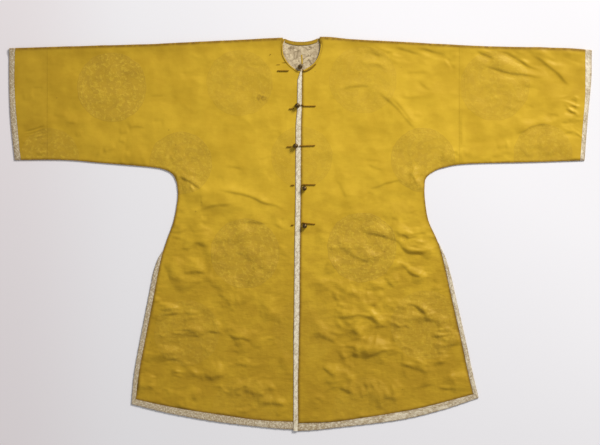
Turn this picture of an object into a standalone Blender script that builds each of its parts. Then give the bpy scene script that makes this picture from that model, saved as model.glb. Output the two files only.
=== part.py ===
"""A silk damask robe laid flat, front up: two loom widths folded over the shoulders,
sleeve ends, brocade borders, neck trim and five ball-and-loop fastenings.

The frame is in metres. The cloth lies on the XY plane with its underside at z = 0, +Y points to
the neck, and the wearer's right is on the -X side. The origin is below the middle of the outline.
Tables of stations are in millimetres: out is the distance from the centre line x = 0 towards the
half's own cuff, and up is the height along +Y.
"""
import math
from collections import namedtuple

import bmesh
import bpy
import numpy as np

MM = 0.001

# Driving sizes; the lining tab's rows are (left x, right x, y) in mm
WALL = 0.0015
GAP = 0.0003
LINING_WALL = 0.0010
BINDING_WALL = 0.0008
BACK_TOP = WALL
FRONT_BASE = BACK_TOP + GAP
OVERLAP_LIFT = WALL + GAP
LINING_LIFT = LINING_WALL + 2 * GAP
FOLD_LIFT = 0.0030
PILLOW = 0.0018
ARMPIT_UP = 0.145
ARMPIT_BUNCHING = 1.6
NECK_CORNER_SHARE = 0.62
UNDER_SHARE = 0.55
CALM_NEAR = 0.070
CALM_FAR = 0.115
NECK_CENTRE = (0.003, 0.515)
NECK_PLATEAU = 0.085
NECK_FADE = 0.150
BALL_RADIUS = 0.0068
CORD_RADIUS = 0.00175
BINDING_WIDTH = 0.0032
BAND_WIDTH = 0.0105

LINING_CENTRE = (0.003, 0.512)
LINING_RADII = (0.070, 0.068)
VENT_FIRST_STEP = 0.003
BACK_HEM_IN_CENTRE = (0.0, -533.5)
BACK_HEM_OUT_CENTRE = (0.0, -555.0)
LINING_TAB = ((1.6, 5.0, 508), (2.4, 6.2, 494), (3.0, 6.4, 482))

# Mesh density
SLEEVE_STEP = 0.046
BODY_COLUMNS = 12
UPPER_ROWS = 10
LOWER_ROWS = 17
BACK_UPPER_ROWS = 4
BACK_LOWER_ROWS = 6
FOLD_STEPS = 4

Half = namedtuple("Half", "name sign seam_out shoulder neckline back_neck under_sleeve side vent_width "
                          "hem_in hem_out cuff_in cuff_out")
Fold = namedtuple("Fold", "x0 y0 x1 y1 bow half_width height")
StripRow = namedtuple("StripRow", "up left right")
Fastening = namedtuple("Fastening", "ball_x ball_y button_tail loop_tail")

# Each table below lists (out, up) stations in mm, or (up, width) for vent_width.
RIGHT = Half(
    name="right", sign=-1, seam_out=0.7173,
    shoulder=((50, 556), (186, 550), (410, 539), (611, 533), (825, 527)),
    neckline=((50, 556), (50.5, 538), (49.6, 516), (46.8, 504), (35.4, 485), (24, 474), (7, 462.4),
              (-2.6, 460.8)),
    back_neck=((50, 556), (30, 548.5), (12, 545.4), (0, 545)),
    under_sleeve=((812, 210), (670, 210), (568, 202), (427, 190), (384, 182), (361, 168), (350, 145)),
    side=((350, 145), (347.5, 105), (358.6, 40), (378.5, -17), (395.5, -73), (418, -187), (440, -300),
          (457, -390), (466.5, -467.5)),
    vent_width=((-48, 1.2), (-73, 9), (-110, 13.5), (-482, 14.5)),
    hem_in=((466.5, -467.5), (404, -481.7), (330, -496), (228, -511.5), (115, -527), (12, -532)),
    hem_out=((479, -481.6), (400, -501.5), (330, -515.7), (228, -532.8), (86, -549), (12, -554)),
    cuff_in=((806.6, 527), (809.4, 500), (809.4, 400), (801, 295), (792.4, 210)),
    cuff_out=((825, 527), (824.8, 420), (820.8, 323), (809.5, 210)),
)
LEFT = Half(
    name="left", sign=1, seam_out=0.4494,
    shoulder=((54, 557.4), (98, 556), (166, 551), (279, 545), (506, 533), (721, 528), (825, 522)),
    neckline=((54, 557.4), (56.7, 539), (55.3, 522), (49.6, 502), (41, 488), (30, 477), (10, 465.2),
              (4.6, 462.5)),
    back_neck=((54, 557.4), (34, 549), (14, 545.4), (0, 545)),
    under_sleeve=((810, 209), (659, 204), (472, 199), (404, 188), (375, 176), (356, 160), (352, 145)),
    side=((352, 145), (352, 105), (362, 40), (387, -17), (404, -73), (429.5, -187), (455, -300),
          (474, -390), (489, -453.5)),
    vent_width=((-24, 1.2), (-48, 5), (-73, 9), (-130, 12), (-464, 13)),
    hem_in=((489, -453.5), (427, -470.3), (310, -498.7), (132, -527), (84, -532), (-6, -535)),
    hem_out=((504.6, -463.8), (398, -498.7), (276, -527), (84, -550.3), (33, -555.6), (-6, -557.4)),
    cuff_in=((806.6, 523), (806.6, 400), (801, 323), (792.4, 210)),
    cuff_out=((825, 523), (824.2, 440), (815, 338), (805, 210)),
)
HALVES = (RIGHT, LEFT)

# The front edge strip: its two edges' x at each height, in mm
STRIP = (
    StripRow(461.0, 0.0, 4.3), StripRow(437.0, -8.5, 4.3), StripRow(352.0, -9.5, 3.5),
    StripRow(310.0, -13.5, 1.8), StripRow(100.0, -14.5, 0.6), StripRow(-45.0, -17.0, -1.4),
    StripRow(-215.0, -18.5, -2.6), StripRow(-300.0, -20.0, -4.3), StripRow(-420.0, -20.0, -7.1),
    StripRow(-557.4, -20.5, -6.5),
)

# The largest folds of the fronts: end points, sideways bow, half width and height, in mm
FOLDS = (
    Fold(-265, 116, -70, 72, 14, 20, 5.0),
    Fold(-338, 150, -270, 112, 0, 22, 4.5),
    Fold(-285, 88, -149, 97, -12, 20, 3.0),
    Fold(-220, 44, -90, 24, 0, 20, 3.0),
    Fold(-330, -52, -248, -48, 9, 20, 3.0),
    Fold(-237, -280, -143, -314, 6, 22, 2.5),
    Fold(64, 389, 203, 417, 10, 22, 2.5),
    Fold(203, 417, 330, 295, 10, 24, 3.5),
    Fold(470, 515, 690, 440, 6, 26, 3.5),
    Fold(622, 287, 707, 309, 0, 20, 2.5),
    Fold(205, 131, 330, 160, 0, 24, 3.5),
    Fold(188, 12, 387, -60, -10, 26, 6.5),
    Fold(262, -78, 339, -122, 0, 20, 4.0),
    Fold(290, -195, 376, -235, 0, 22, 4.0),
    Fold(92, -235, 245, -258, 12, 24, 5.0),
    Fold(104, -320, 274, -300, -15, 22, 3.5),
    Fold(-680, 330, -600, 312, 0, 20, 2.0),
)

# The fastenings from the neck down: ball centre and the tails' points, in mm
FASTENINGS = (
    Fastening(-1.0, 473.5, ((5.3, 466.9), (10.5, 461.0), (20, 463.0), (33, 471), (44, 482)),
              ((-33, 462.4), (-66, 462.4))),
    Fastening(-9.0, 363.5, ((1.2, 365.5), (6, 366), (12, 362.5), (44, 362.5)),
              ((-17.6, 355), (-32.6, 354.5))),
    Fastening(-14.2, 249.5, ((-3.6, 249.5), (4, 249.8), (14, 249.8), (42, 251)),
              ((-24.6, 247.5), (-39, 247.5))),
    Fastening(11.1, 129.3, ((3.4, 137.0), (7, 140.5), (14, 140), (43.5, 140)),
              ((-16.9, 138.8), (-27.5, 138.4))),
    Fastening(11.9, 23.0, ((3.6, 29.5), (7.5, 32.8), (14, 30.8), (42, 28)),
              ((-18.5, 25.8), (-26.5, 25.8))),
)

YELLOW_SILK = ("yellow_silk", (0.62, 0.42, 0.04, 1), 0.45, 0.0)
PALE_BROCADE = ("pale_brocade", (0.72, 0.66, 0.50, 1), 0.5, 0.0)
LINING_SILK = ("lining_silk", (0.66, 0.59, 0.43, 1), 0.5, 0.0)
BROWN_CORD = ("brown_cord", (0.13, 0.06, 0.015, 1), 0.7, 0.0)
BRONZE = ("bronze", (0.10, 0.07, 0.04, 1), 0.35, 0.9)


def smooth_curve(stations, per_span=12):
    """Dense points in metres on the Catmull-Rom curve through stations in mm."""
    p = np.asarray(stations, dtype=float) * MM
    q = np.vstack((2 * p[0] - p[1], p, 2 * p[-1] - p[-2]))
    t = np.linspace(0.0, 1.0, per_span, endpoint=False)[:, None]
    spans = [
        0.5 * (2 * b + (c - a) * t + (2 * a - 5 * b + 4 * c - d) * t ** 2 + (3 * b - a - 3 * c + d) * t ** 3)
        for a, b, c, d in zip(q, q[1:], q[2:], q[3:])
    ]
    return np.vstack(spans + [p[-1:]])


def at_fractions(curve, fractions):
    """Points at the given fractions of a curve's length."""
    steps = np.linalg.norm(np.diff(curve, axis=0), axis=1)
    length = np.concatenate(([0.0], np.cumsum(steps)))
    s = np.asarray(fractions) * length[-1]
    return np.column_stack([np.interp(s, length, curve[:, k]) for k in range(2)])


def up_at(curve, out):
    """Height of a curve that is single-valued in out."""
    order = np.argsort(curve[:, 0])
    return np.interp(out, curve[order, 0], curve[order, 1])


def out_at(curve, up):
    """Distance out of a curve that is single-valued in up."""
    order = np.argsort(curve[:, 1])
    return np.interp(up, curve[order, 1], curve[order, 0])


def strip_edges(up):
    """The strip's left and right x at each height."""
    rows = np.array(STRIP)[::-1] * MM
    left = np.interp(up, rows[:, 0], rows[:, 1])
    right = np.interp(up, rows[:, 0], rows[:, 2])
    return left, right


def front_centre_out(half, up):
    """Where each front panel ends: under the strip on the right, beside it on the left."""
    left, right = strip_edges(up)
    if half.sign < 0:
        return -(left + UNDER_SHARE * (right - left))
    return right + GAP


def back_centre_out(half, up):
    """Half a gap from the centre-back seam."""
    return np.full_like(np.asarray(up, dtype=float), GAP / 2)


def smoothstep(low, high, value):
    """0 below low, 1 above high, and a smooth rise between."""
    t = np.clip((value - low) / (high - low), 0.0, 1.0)
    return t * t * (3 - 2 * t)


def neck_lift(x, y):
    """The fronts' rise over the lining patch: level near the neck, then fading out."""
    reach = np.hypot(x - NECK_CENTRE[0], y - NECK_CENTRE[1])
    return LINING_LIFT * (1 - smoothstep(NECK_PLATEAU, NECK_FADE, reach))


def overlap_lift(half, x):
    """The left front's rise to the strip, which lies over the right front."""
    if half.sign < 0:
        return np.zeros_like(x)
    return OVERLAP_LIFT * (1 - smoothstep(CALM_NEAR, CALM_FAR, np.abs(x)))


def fold_height(x, y):
    """Rounded ridges along the folds: height * exp(-(d / half_width)^2), tapered at the ends."""
    total = np.zeros_like(x)
    for fold in FOLDS:
        start = np.array((fold.x0, fold.y0)) * MM
        run = np.array((fold.x1, fold.y1)) * MM - start
        length = np.linalg.norm(run)
        along = run / length
        t = ((x - start[0]) * along[0] + (y - start[1]) * along[1]) / length
        side = (y - start[1]) * along[0] - (x - start[0]) * along[1]
        arc = fold.bow * MM * 4 * t * (1 - t)
        taper = smoothstep(-0.15, 0.2, t) * (1 - smoothstep(0.8, 1.15, t))
        total += fold.height * MM * taper * np.exp(-((side - arc) / (fold.half_width * MM)) ** 2)
    return total


def front_underside(half, x, y, inside):
    """Height of a front's underside; inside is 0 on the panel's edges and 1 within it."""
    calm = smoothstep(CALM_NEAR, CALM_FAR, np.abs(x)) * inside
    relief = calm * (PILLOW + fold_height(x, y))
    return FRONT_BASE + neck_lift(x, y) + overlap_lift(half, x) + relief


def sleeve_steps(near, far):
    """Number of sleeve columns between two distances out."""
    return max(1, round(abs(far - near) / SLEEVE_STEP))


def upper_block(half, neck_stations, centre_out, rows):
    """(out, up) grid from the shoulder fold to the armpit's level, sleeve seam to centre."""
    shoulder = smooth_curve(half.shoulder)
    under = smooth_curve(half.under_sleeve)
    neck = smooth_curve(neck_stations)
    seam = half.seam_out - GAP / 2
    armpit = half.side[0][0] * MM
    corner = half.shoulder[0][0] * MM
    inner = under[under[:, 0] < seam]
    inner = np.vstack(([seam, up_at(under, seam)], inner))
    sleeve = 1 - (1 - np.linspace(0.0, 1.0, sleeve_steps(armpit, seam) + 2)) ** ARMPIT_BUNCHING
    bottom = at_fractions(inner, sleeve)
    top_out = seam + (armpit - seam) * sleeve
    top = np.column_stack((top_out, up_at(shoulder, top_out)))
    body = np.linspace(0.0, 1.0, BODY_COLUMNS + 1)[1:]
    on_shoulder = body[body <= NECK_CORNER_SHARE]
    on_neck = body[body > NECK_CORNER_SHARE]
    last = on_shoulder[-1]
    shoulder_out = armpit + (corner - armpit) * on_shoulder / last
    shoulder_top = np.column_stack((shoulder_out, up_at(shoulder, shoulder_out)))
    neck_top = at_fractions(neck, (on_neck - last) / (1 - last))
    centre = float(centre_out(half, ARMPIT_UP))
    cut = np.column_stack((armpit + (centre - armpit) * body, np.full(len(body), ARMPIT_UP)))
    top = np.vstack((top, shoulder_top, neck_top))
    bottom = np.vstack((bottom, cut))
    v = np.linspace(0.0, 1.0, rows + 1)[:, None, None]
    grid = top[None] + (bottom - top)[None] * v
    weight = np.concatenate((np.zeros(len(sleeve)), body)) ** 4
    grid[..., 0] += weight * (centre_out(half, grid[:, -1, 1]) - grid[:, -1, 0])[:, None]
    folded_columns = len(sleeve) + len(on_shoulder)
    return grid, folded_columns


def lower_block(half, hem_stations, centre_out, rows):
    """(out, up) grid from the armpit's level to the hem, side seam to centre."""
    side = smooth_curve(half.side)
    w = np.linspace(0.0, 1.0, BODY_COLUMNS + 1)
    armpit = half.side[0][0] * MM
    centre = float(centre_out(half, ARMPIT_UP))
    top = np.column_stack((armpit + (centre - armpit) * w, np.full(len(w), ARMPIT_UP)))
    bottom = at_fractions(smooth_curve(hem_stations), w)
    v = np.linspace(0.0, 1.0, rows + 1)[:, None, None]
    grid = top[None] + (bottom - top)[None] * v
    side_shift = out_at(side, grid[:, 0, 1]) - grid[:, 0, 0]
    centre_shift = centre_out(half, grid[:, -1, 1]) - grid[:, -1, 0]
    grid[..., 0] += (1 - w) ** 2 * side_shift[:, None] + w ** 4 * centre_shift[:, None]
    return grid


def sleeve_block(half, out_from, out_to, rows, columns):
    """(out, up) grid of a sleeve stretch; out_from and out_to give out at each height."""
    shoulder = smooth_curve(half.shoulder)
    under = smooth_curve(half.under_sleeve)
    u = np.linspace(0.0, 1.0, columns + 1)
    top_up = half.shoulder[-1][1] * MM
    low_up = half.under_sleeve[0][1] * MM
    top_out = out_from(top_up) + (out_to(top_up) - out_from(top_up)) * u
    low_out = out_from(low_up) + (out_to(low_up) - out_from(low_up)) * u
    v = np.linspace(0.0, 1.0, rows + 1)[:, None]
    up = up_at(shoulder, top_out)[None] * (1 - v) + up_at(under, low_out)[None] * v
    out = out_from(up) + (out_to(up) - out_from(up)) * u[None]
    return np.stack((out, up), axis=-1)


class Sheet:
    """Points and quads of one open surface, put together from grids that share points."""

    def __init__(self):
        self.points = []
        self.quads = []

    def add_grid(self, x, y, z):
        """Add a grid of points and give back their indices."""
        start = len(self.points)
        self.points.extend(np.stack((x, y, z), axis=-1).reshape(-1, 3).tolist())
        return np.arange(start, start + x.size).reshape(x.shape)

    def add_quads(self, index, flip):
        """Join a grid of indices by quads, turned over where flip is set."""
        a = index[:-1, :-1].ravel()
        b = index[:-1, 1:].ravel()
        c = index[1:, 1:].ravel()
        d = index[1:, :-1].ravel()
        order = (a, d, c, b) if flip else (a, b, c, d)
        self.quads.extend(np.column_stack(order).tolist())


def new_object(name, mesh, finish, collection):
    """Link a mesh as a named object with a material of its own."""
    label, colour, roughness, metallic = finish
    obj = bpy.data.objects.new(name, mesh)
    collection.objects.link(obj)
    material = bpy.data.materials.new(f"{label}_{name}")
    material.use_nodes = True
    shader = material.node_tree.nodes["Principled BSDF"]
    shader.inputs["Base Color"].default_value = colour
    shader.inputs["Roughness"].default_value = roughness
    shader.inputs["Metallic"].default_value = metallic
    mesh.materials.append(material)
    return obj


def thicken(obj, wall):
    """Give an open surface its wall, on the side that its faces point to."""
    solid = obj.modifiers.new("wall", "SOLIDIFY")
    solid.thickness = wall
    solid.offset = 1.0
    solid.use_even_offset = True
    solid.use_rim = True


def cloth_object(name, sheet, wall, finish, collection):
    """An object from a sheet, with its wall."""
    mesh = bpy.data.meshes.new(name)
    mesh.from_pydata(sheet.points, [], sheet.quads)
    mesh.update()
    obj = new_object(name, mesh, finish, collection)
    thicken(obj, wall)
    return obj


def mask_edges(shape, top, bottom, near, far):
    """1 inside a grid and 0 on the edges that are named true."""
    inside = np.ones(shape)
    if top:
        inside[0] = 0
    if bottom:
        inside[-1] = 0
    if near:
        inside[:, 0] = 0
    if far:
        inside[:, -1] = 0
    return inside


def fold_rows(sheet, front_x, front_y, front_z):
    """Rows of points round the fold, from just below the front's top row to the back's level."""
    angles = np.linspace(math.pi / 2, -math.pi / 2, FOLD_STEPS + 1)[1:-1]
    middle = (front_z + BACK_TOP) / 2
    radius = (front_z - BACK_TOP) / 2
    rows = [
        sheet.add_grid(front_x, front_y + radius * math.cos(angle), middle + radius * math.sin(angle))
        for angle in angles
    ]
    return np.array(rows)


def fold_reach(front_z):
    """How far the fold's outside stands beyond its centre."""
    return (front_z - BACK_TOP) / 2 + WALL / math.cos(math.pi / (2 * FOLD_STEPS))


def body_half(half, collection):
    """One loom width: front and back panels joined by the fold over the shoulder."""
    sheet = Sheet()
    flip = half.sign < 0
    upper, folded = upper_block(half, half.neckline, front_centre_out, UPPER_ROWS)
    lower = lower_block(half, half.hem_in, front_centre_out, LOWER_ROWS)
    columns = upper.shape[1]
    sleeve = columns - BODY_COLUMNS - 1

    x = half.sign * upper[..., 0]
    y = upper[..., 1].copy()
    inside = mask_edges(x.shape, True, False, True, True)
    inside[-1, :sleeve + 1] = 0
    z = front_underside(half, x, y, inside)
    z[0, :folded] += FOLD_LIFT
    y[0, :folded] -= fold_reach(z[0, :folded])
    front = sheet.add_grid(x, y, z)

    low_x = half.sign * lower[1:, :, 0]
    low_y = lower[1:, :, 1]
    low_inside = mask_edges(low_x.shape, False, True, True, True)
    low_z = front_underside(half, low_x, low_y, low_inside)
    front_low = sheet.add_grid(low_x, low_y, low_z)

    back_upper, _ = upper_block(half, half.back_neck, back_centre_out, BACK_UPPER_ROWS)
    back_hem = half.hem_in[:-1] + (BACK_HEM_IN_CENTRE,)
    back_lower = lower_block(half, back_hem, back_centre_out, BACK_LOWER_ROWS)
    back_x = half.sign * back_upper[..., 0]
    back_y = back_upper[..., 1].copy()
    back_x[0, :folded] = x[0, :folded]
    back_y[0, :folded] = y[0, :folded]
    back = sheet.add_grid(back_x, back_y, np.full_like(back_x, BACK_TOP))
    back_low_x = half.sign * back_lower[1:, :, 0]
    back_low = sheet.add_grid(back_low_x, back_lower[1:, :, 1], np.full_like(back_low_x, BACK_TOP))

    turn = fold_rows(sheet, x[0, :folded], y[0, :folded], z[0, :folded])
    sheet.add_quads(front, flip)
    sheet.add_quads(np.vstack((front[-1:, sleeve:], front_low)), flip)
    sheet.add_quads(np.vstack((front[:1, :folded], turn, back[:1, :folded])), not flip)
    sheet.add_quads(back, not flip)
    sheet.add_quads(np.vstack((back[-1:, sleeve:], back_low)), not flip)
    return cloth_object(f"body_{half.name}", sheet, WALL, YELLOW_SILK, collection)


def sleeve_piece(half, name, out_from, out_to, columns, finish, collection):
    """A folded sleeve stretch: its front, the fold over the top and its back."""
    sheet = Sheet()
    flip = half.sign > 0
    grid = sleeve_block(half, out_from, out_to, UPPER_ROWS, columns)
    x = half.sign * grid[..., 0]
    y = grid[..., 1].copy()
    inside = mask_edges(x.shape, True, True, True, True)
    z = front_underside(half, x, y, inside)
    z[0] += FOLD_LIFT
    y[0] -= fold_reach(z[0])
    front = sheet.add_grid(x, y, z)
    back_grid = sleeve_block(half, out_from, out_to, BACK_UPPER_ROWS, columns)
    back_x = half.sign * back_grid[..., 0]
    back_y = back_grid[..., 1].copy()
    back_x[0] = x[0]
    back_y[0] = y[0]
    back = sheet.add_grid(back_x, back_y, np.full_like(back_x, BACK_TOP))
    turn = fold_rows(sheet, x[0], y[0], z[0])
    sheet.add_quads(front, flip)
    sheet.add_quads(np.vstack((front[:1], turn, back[:1])), not flip)
    sheet.add_quads(back, not flip)
    return cloth_object(name, sheet, WALL, finish, collection)


def sleeve_pieces(half, collection):
    """The sleeve's end beyond the loom width and the brocade band round its cuff."""
    cuff_in = smooth_curve(half.cuff_in)
    cuff_out = smooth_curve(half.cuff_out)
    start = half.seam_out + GAP / 2
    columns = sleeve_steps(start, half.cuff_in[0][0] * MM)
    sleeve_piece(half, f"sleeve_end_{half.name}", lambda up: np.full_like(up, start),
                 lambda up: out_at(cuff_in, up) - GAP / 2, columns, YELLOW_SILK, collection)
    sleeve_piece(half, f"cuff_border_{half.name}", lambda up: out_at(cuff_in, up) + GAP / 2,
                 lambda up: out_at(cuff_out, up), 1, PALE_BROCADE, collection)


def ribbon(name, inner, outer, z, wall, finish, collection):
    """A strip between two rows of (x, y) points, its underside at height z, face up."""
    sheet = Sheet()
    rows = np.stack((inner, outer))
    levels = np.broadcast_to(z, rows.shape[:2]).copy()
    index = sheet.add_grid(rows[..., 0], rows[..., 1], levels)
    edge_a = np.append(inner[1] - inner[0], 0.0)
    edge_b = np.append(outer[0] - inner[0], 0.0)
    sheet.add_quads(index, np.cross(edge_a, edge_b)[2] < 0)
    return cloth_object(name, sheet, wall, finish, collection)


def strip_rows():
    """Heights of the strip's rows: those of the right front's own centre edge, then the hem."""
    upper, _ = upper_block(RIGHT, RIGHT.neckline, front_centre_out, UPPER_ROWS)
    lower = lower_block(RIGHT, RIGHT.hem_in, front_centre_out, LOWER_ROWS)
    hem = STRIP[-1].up * MM
    return np.concatenate((upper[:, -1, 1], lower[1:, -1, 1], [hem]))


def front_edge_border(collection):
    """The brocade strip down the left front's edge, lying over the right front."""
    up = strip_rows()
    left, right = strip_edges(up)
    z = FRONT_BASE + OVERLAP_LIFT + neck_lift((left + right) / 2, up)
    ribbon("front_edge_border", np.column_stack((left, up)), np.column_stack((right, up)), z, WALL,
           PALE_BROCADE, collection)


def push_out(points, distance):
    """Points moved to the left of their run by a distance, or to the right where it is negative."""
    run = np.gradient(points, axis=0)
    run /= np.linalg.norm(run, axis=1)[:, None]
    return points + np.reshape(distance, (-1, 1)) * np.column_stack((-run[:, 1], run[:, 0]))


def vent_border(half, layer, base, rows, collection):
    """The brocade strip from the vent's top to the mitre, along the panel's own side points."""
    edge = lower_block(half, half.hem_in, front_centre_out, rows)[:, 0]
    widths = np.array(half.vent_width) * MM
    top = widths[0, 0]
    inner = np.vstack(((out_at(edge, top), top), edge[edge[:, 1] < top - VENT_FIRST_STEP]))
    width = np.interp(-inner[:, 1], -widths[:, 0], widths[:, 1])
    outer = push_out(inner, width)
    corner = inner[-1]
    outer_corner = np.array(half.hem_out[0]) * MM
    share = np.linspace(0.0, 1.0, len(inner))[:, None] ** 6
    outer = outer + share * (outer_corner - outer[-1])
    mitre = (outer_corner - corner) / np.linalg.norm(outer_corner - corner)
    lift = np.array((-mitre[1], mitre[0])) * GAP / 2
    lift = lift if lift[1] > 0 else -lift
    inner = push_out(inner, GAP)
    inner[-1] = corner + mitre * GAP + lift
    outer[-1] = outer_corner + lift
    flip = np.array((half.sign, 1.0))
    ribbon(f"vent_border_{layer}_{half.name}", inner * flip, outer * flip, base, WALL, PALE_BROCADE,
           collection)


def hem_edges(half, inner_stations, outer_stations, count):
    """A half's hem strip from its mitre to the centre: (x, y) of the inner and outer edge."""
    fractions = np.linspace(0.0, 1.0, count)
    inner = push_out(at_fractions(smooth_curve(inner_stations), fractions), GAP)
    outer = at_fractions(smooth_curve(outer_stations), fractions)
    corner = np.array(inner_stations[0]) * MM
    mitre = (outer[0] - corner) / np.linalg.norm(outer[0] - corner)
    lift = np.array((-mitre[1], mitre[0])) * GAP / 2
    lift = -lift if lift[1] > 0 else lift
    inner[0] = corner + mitre * GAP + lift
    outer[0] = outer[0] + lift
    flip = np.array((half.sign, 1.0))
    return inner * flip, outer * flip


def hem_borders(collection):
    """Hem strips: one on each front and one along the whole back."""
    count = BODY_COLUMNS + 1
    for half in HALVES:
        inner, outer = hem_edges(half, half.hem_in, half.hem_out, count)
        if half.sign > 0:
            edge = strip_edges(outer[-1, 1])[1] + GAP
            inner[-1, 0] = edge
            outer[-1, 0] = edge
        ribbon(f"hem_border_front_{half.name}", inner, outer, FRONT_BASE, WALL, PALE_BROCADE, collection)
    runs = [
        hem_edges(half, half.hem_in[:-1] + (BACK_HEM_IN_CENTRE,), half.hem_out[:-1] + (BACK_HEM_OUT_CENTRE,),
                  count)
        for half in HALVES
    ]
    inner = np.vstack((runs[0][0][:-1], runs[1][0][::-1]))
    outer = np.vstack((runs[0][1][:-1], runs[1][1][::-1]))
    ribbon("hem_border_back", inner, outer, 0.0, WALL, PALE_BROCADE, collection)


def neck_bindings(collection):
    """The narrow binding on each front's neck edge, made from the panel's own points."""
    for half in HALVES:
        upper, folded = upper_block(half, half.neckline, front_centre_out, UPPER_ROWS)
        edge = upper[0, folded:-1]
        toward = upper[1, folded:-1] - edge
        toward /= np.linalg.norm(toward, axis=1)[:, None]
        inner = edge + toward * GAP
        outer = edge + toward * (GAP + BINDING_WIDTH)
        x = half.sign * edge[:, 0]
        level = FRONT_BASE + WALL + GAP + neck_lift(x, edge[:, 1]) + overlap_lift(half, x)
        flip = np.array((half.sign, 1.0))
        ribbon(f"neck_binding_{half.name}", inner * flip, outer * flip, level, BINDING_WALL, YELLOW_SILK,
               collection)


def back_neck_arc(inset, count):
    """(x, y) points along the back neck, moved down by an inset."""
    right = smooth_curve(RIGHT.back_neck) * np.array((-1.0, 1.0))
    left = smooth_curve(LEFT.back_neck)[::-1]
    arc = at_fractions(np.vstack((right[:-1], left)), np.linspace(0.06, 0.94, count))
    return arc - np.array((0.0, inset))


def neck_band(collection):
    """The binding's wide half, seen lying on the lining inside the back neck."""
    count = 11
    level = BACK_TOP + GAP + LINING_WALL + GAP
    ribbon("neck_band_back", back_neck_arc(GAP, count), back_neck_arc(GAP + BAND_WIDTH, count), level,
           LINING_WALL, YELLOW_SILK, collection)


def lining_patch(collection):
    """The lining inside the back neck, with a margin that reaches under the fronts."""
    top_row = back_neck_arc(2 * GAP, 9)
    angles = np.linspace(math.radians(10), math.radians(170), 13)
    round_end = np.column_stack((np.cos(angles), -np.sin(angles)))
    under = np.array(LINING_CENTRE) + round_end * np.array(LINING_RADII)
    outline = np.vstack((top_row, under))
    mesh = bpy.data.meshes.new("back_neck_lining")
    shape = bmesh.new()
    level = BACK_TOP + GAP
    corners = [shape.verts.new((point[0], point[1], level)) for point in outline]
    face = shape.faces.new(corners)
    face.normal_update()
    if face.normal.z < 0:
        face.normal_flip()
    shape.to_mesh(mesh)
    shape.free()
    obj = new_object("back_neck_lining", mesh, LINING_SILK, collection)
    thicken(obj, LINING_WALL)


def lining_tab(collection):
    """The narrow yellow strip at the lining's centre, above the top button."""
    level = BACK_TOP + GAP + LINING_WALL + GAP
    rows = np.array(LINING_TAB) * MM
    inner = rows[:, (0, 2)]
    outer = rows[:, (1, 2)]
    ribbon("lining_tab", inner, outer, level, BINDING_WALL, YELLOW_SILK, collection)


def cord(name, points, finish, collection):
    """A round cord along a row of points, a POLY curve with filled caps."""
    curve = bpy.data.curves.new(name, "CURVE")
    curve.dimensions = "3D"
    curve.bevel_depth = CORD_RADIUS
    curve.bevel_resolution = 2
    curve.use_fill_caps = True
    spline = curve.splines.new("POLY")
    spline.points.add(len(points) - 1)
    for target, point in zip(spline.points, points):
        target.co = (*point, 1.0)
    new_object(name, curve, finish, collection)


def cord_route(route, level, count):
    """Points along a cord's route in mm at a constant height."""
    flat = at_fractions(smooth_curve(route), np.linspace(0.0, 1.0, count))
    return np.column_stack((flat, np.full(count, level)))


def fastenings(collection):
    """Ball buttons, their tails on the left front and the loop tails on the right front."""
    strip_top = FRONT_BASE + OVERLAP_LIFT + WALL
    for number, row in enumerate(FASTENINGS, start=1):
        at_neck = number == 1
        extra = LINING_LIFT if at_neck else 0.0
        seat = BACK_TOP + GAP + LINING_WALL if at_neck else strip_top
        mesh = bpy.data.meshes.new(f"button_{number}")
        shape = bmesh.new()
        bmesh.ops.create_uvsphere(shape, u_segments=12, v_segments=8, radius=BALL_RADIUS)
        shape.to_mesh(mesh)
        shape.free()
        mesh.shade_smooth()
        ball = new_object(f"button_{number}", mesh, BRONZE, collection)
        ball.location = (row.ball_x * MM, row.ball_y * MM, seat + GAP + BALL_RADIUS)
        level = strip_top + extra + GAP + CORD_RADIUS
        cord(f"button_tail_{number}", cord_route(row.button_tail, level, 7), BROWN_CORD, collection)
        low = FRONT_BASE + WALL + extra + GAP + CORD_RADIUS
        cord(f"loop_tail_{number}", cord_route(row.loop_tail, low, 4), BROWN_CORD, collection)


def main():
    for obj in list(bpy.data.objects):
        bpy.data.objects.remove(obj)
    collection = bpy.data.collections.new("silk_robe")
    bpy.context.scene.collection.children.link(collection)
    for half in HALVES:
        body_half(half, collection)
        sleeve_pieces(half, collection)
        vent_border(half, "front", FRONT_BASE, LOWER_ROWS, collection)
        vent_border(half, "back", 0.0, BACK_LOWER_ROWS, collection)
    front_edge_border(collection)
    hem_borders(collection)
    neck_bindings(collection)
    neck_band(collection)
    lining_patch(collection)
    lining_tab(collection)
    fastenings(collection)


main()
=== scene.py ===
import math
from collections import namedtuple

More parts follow.
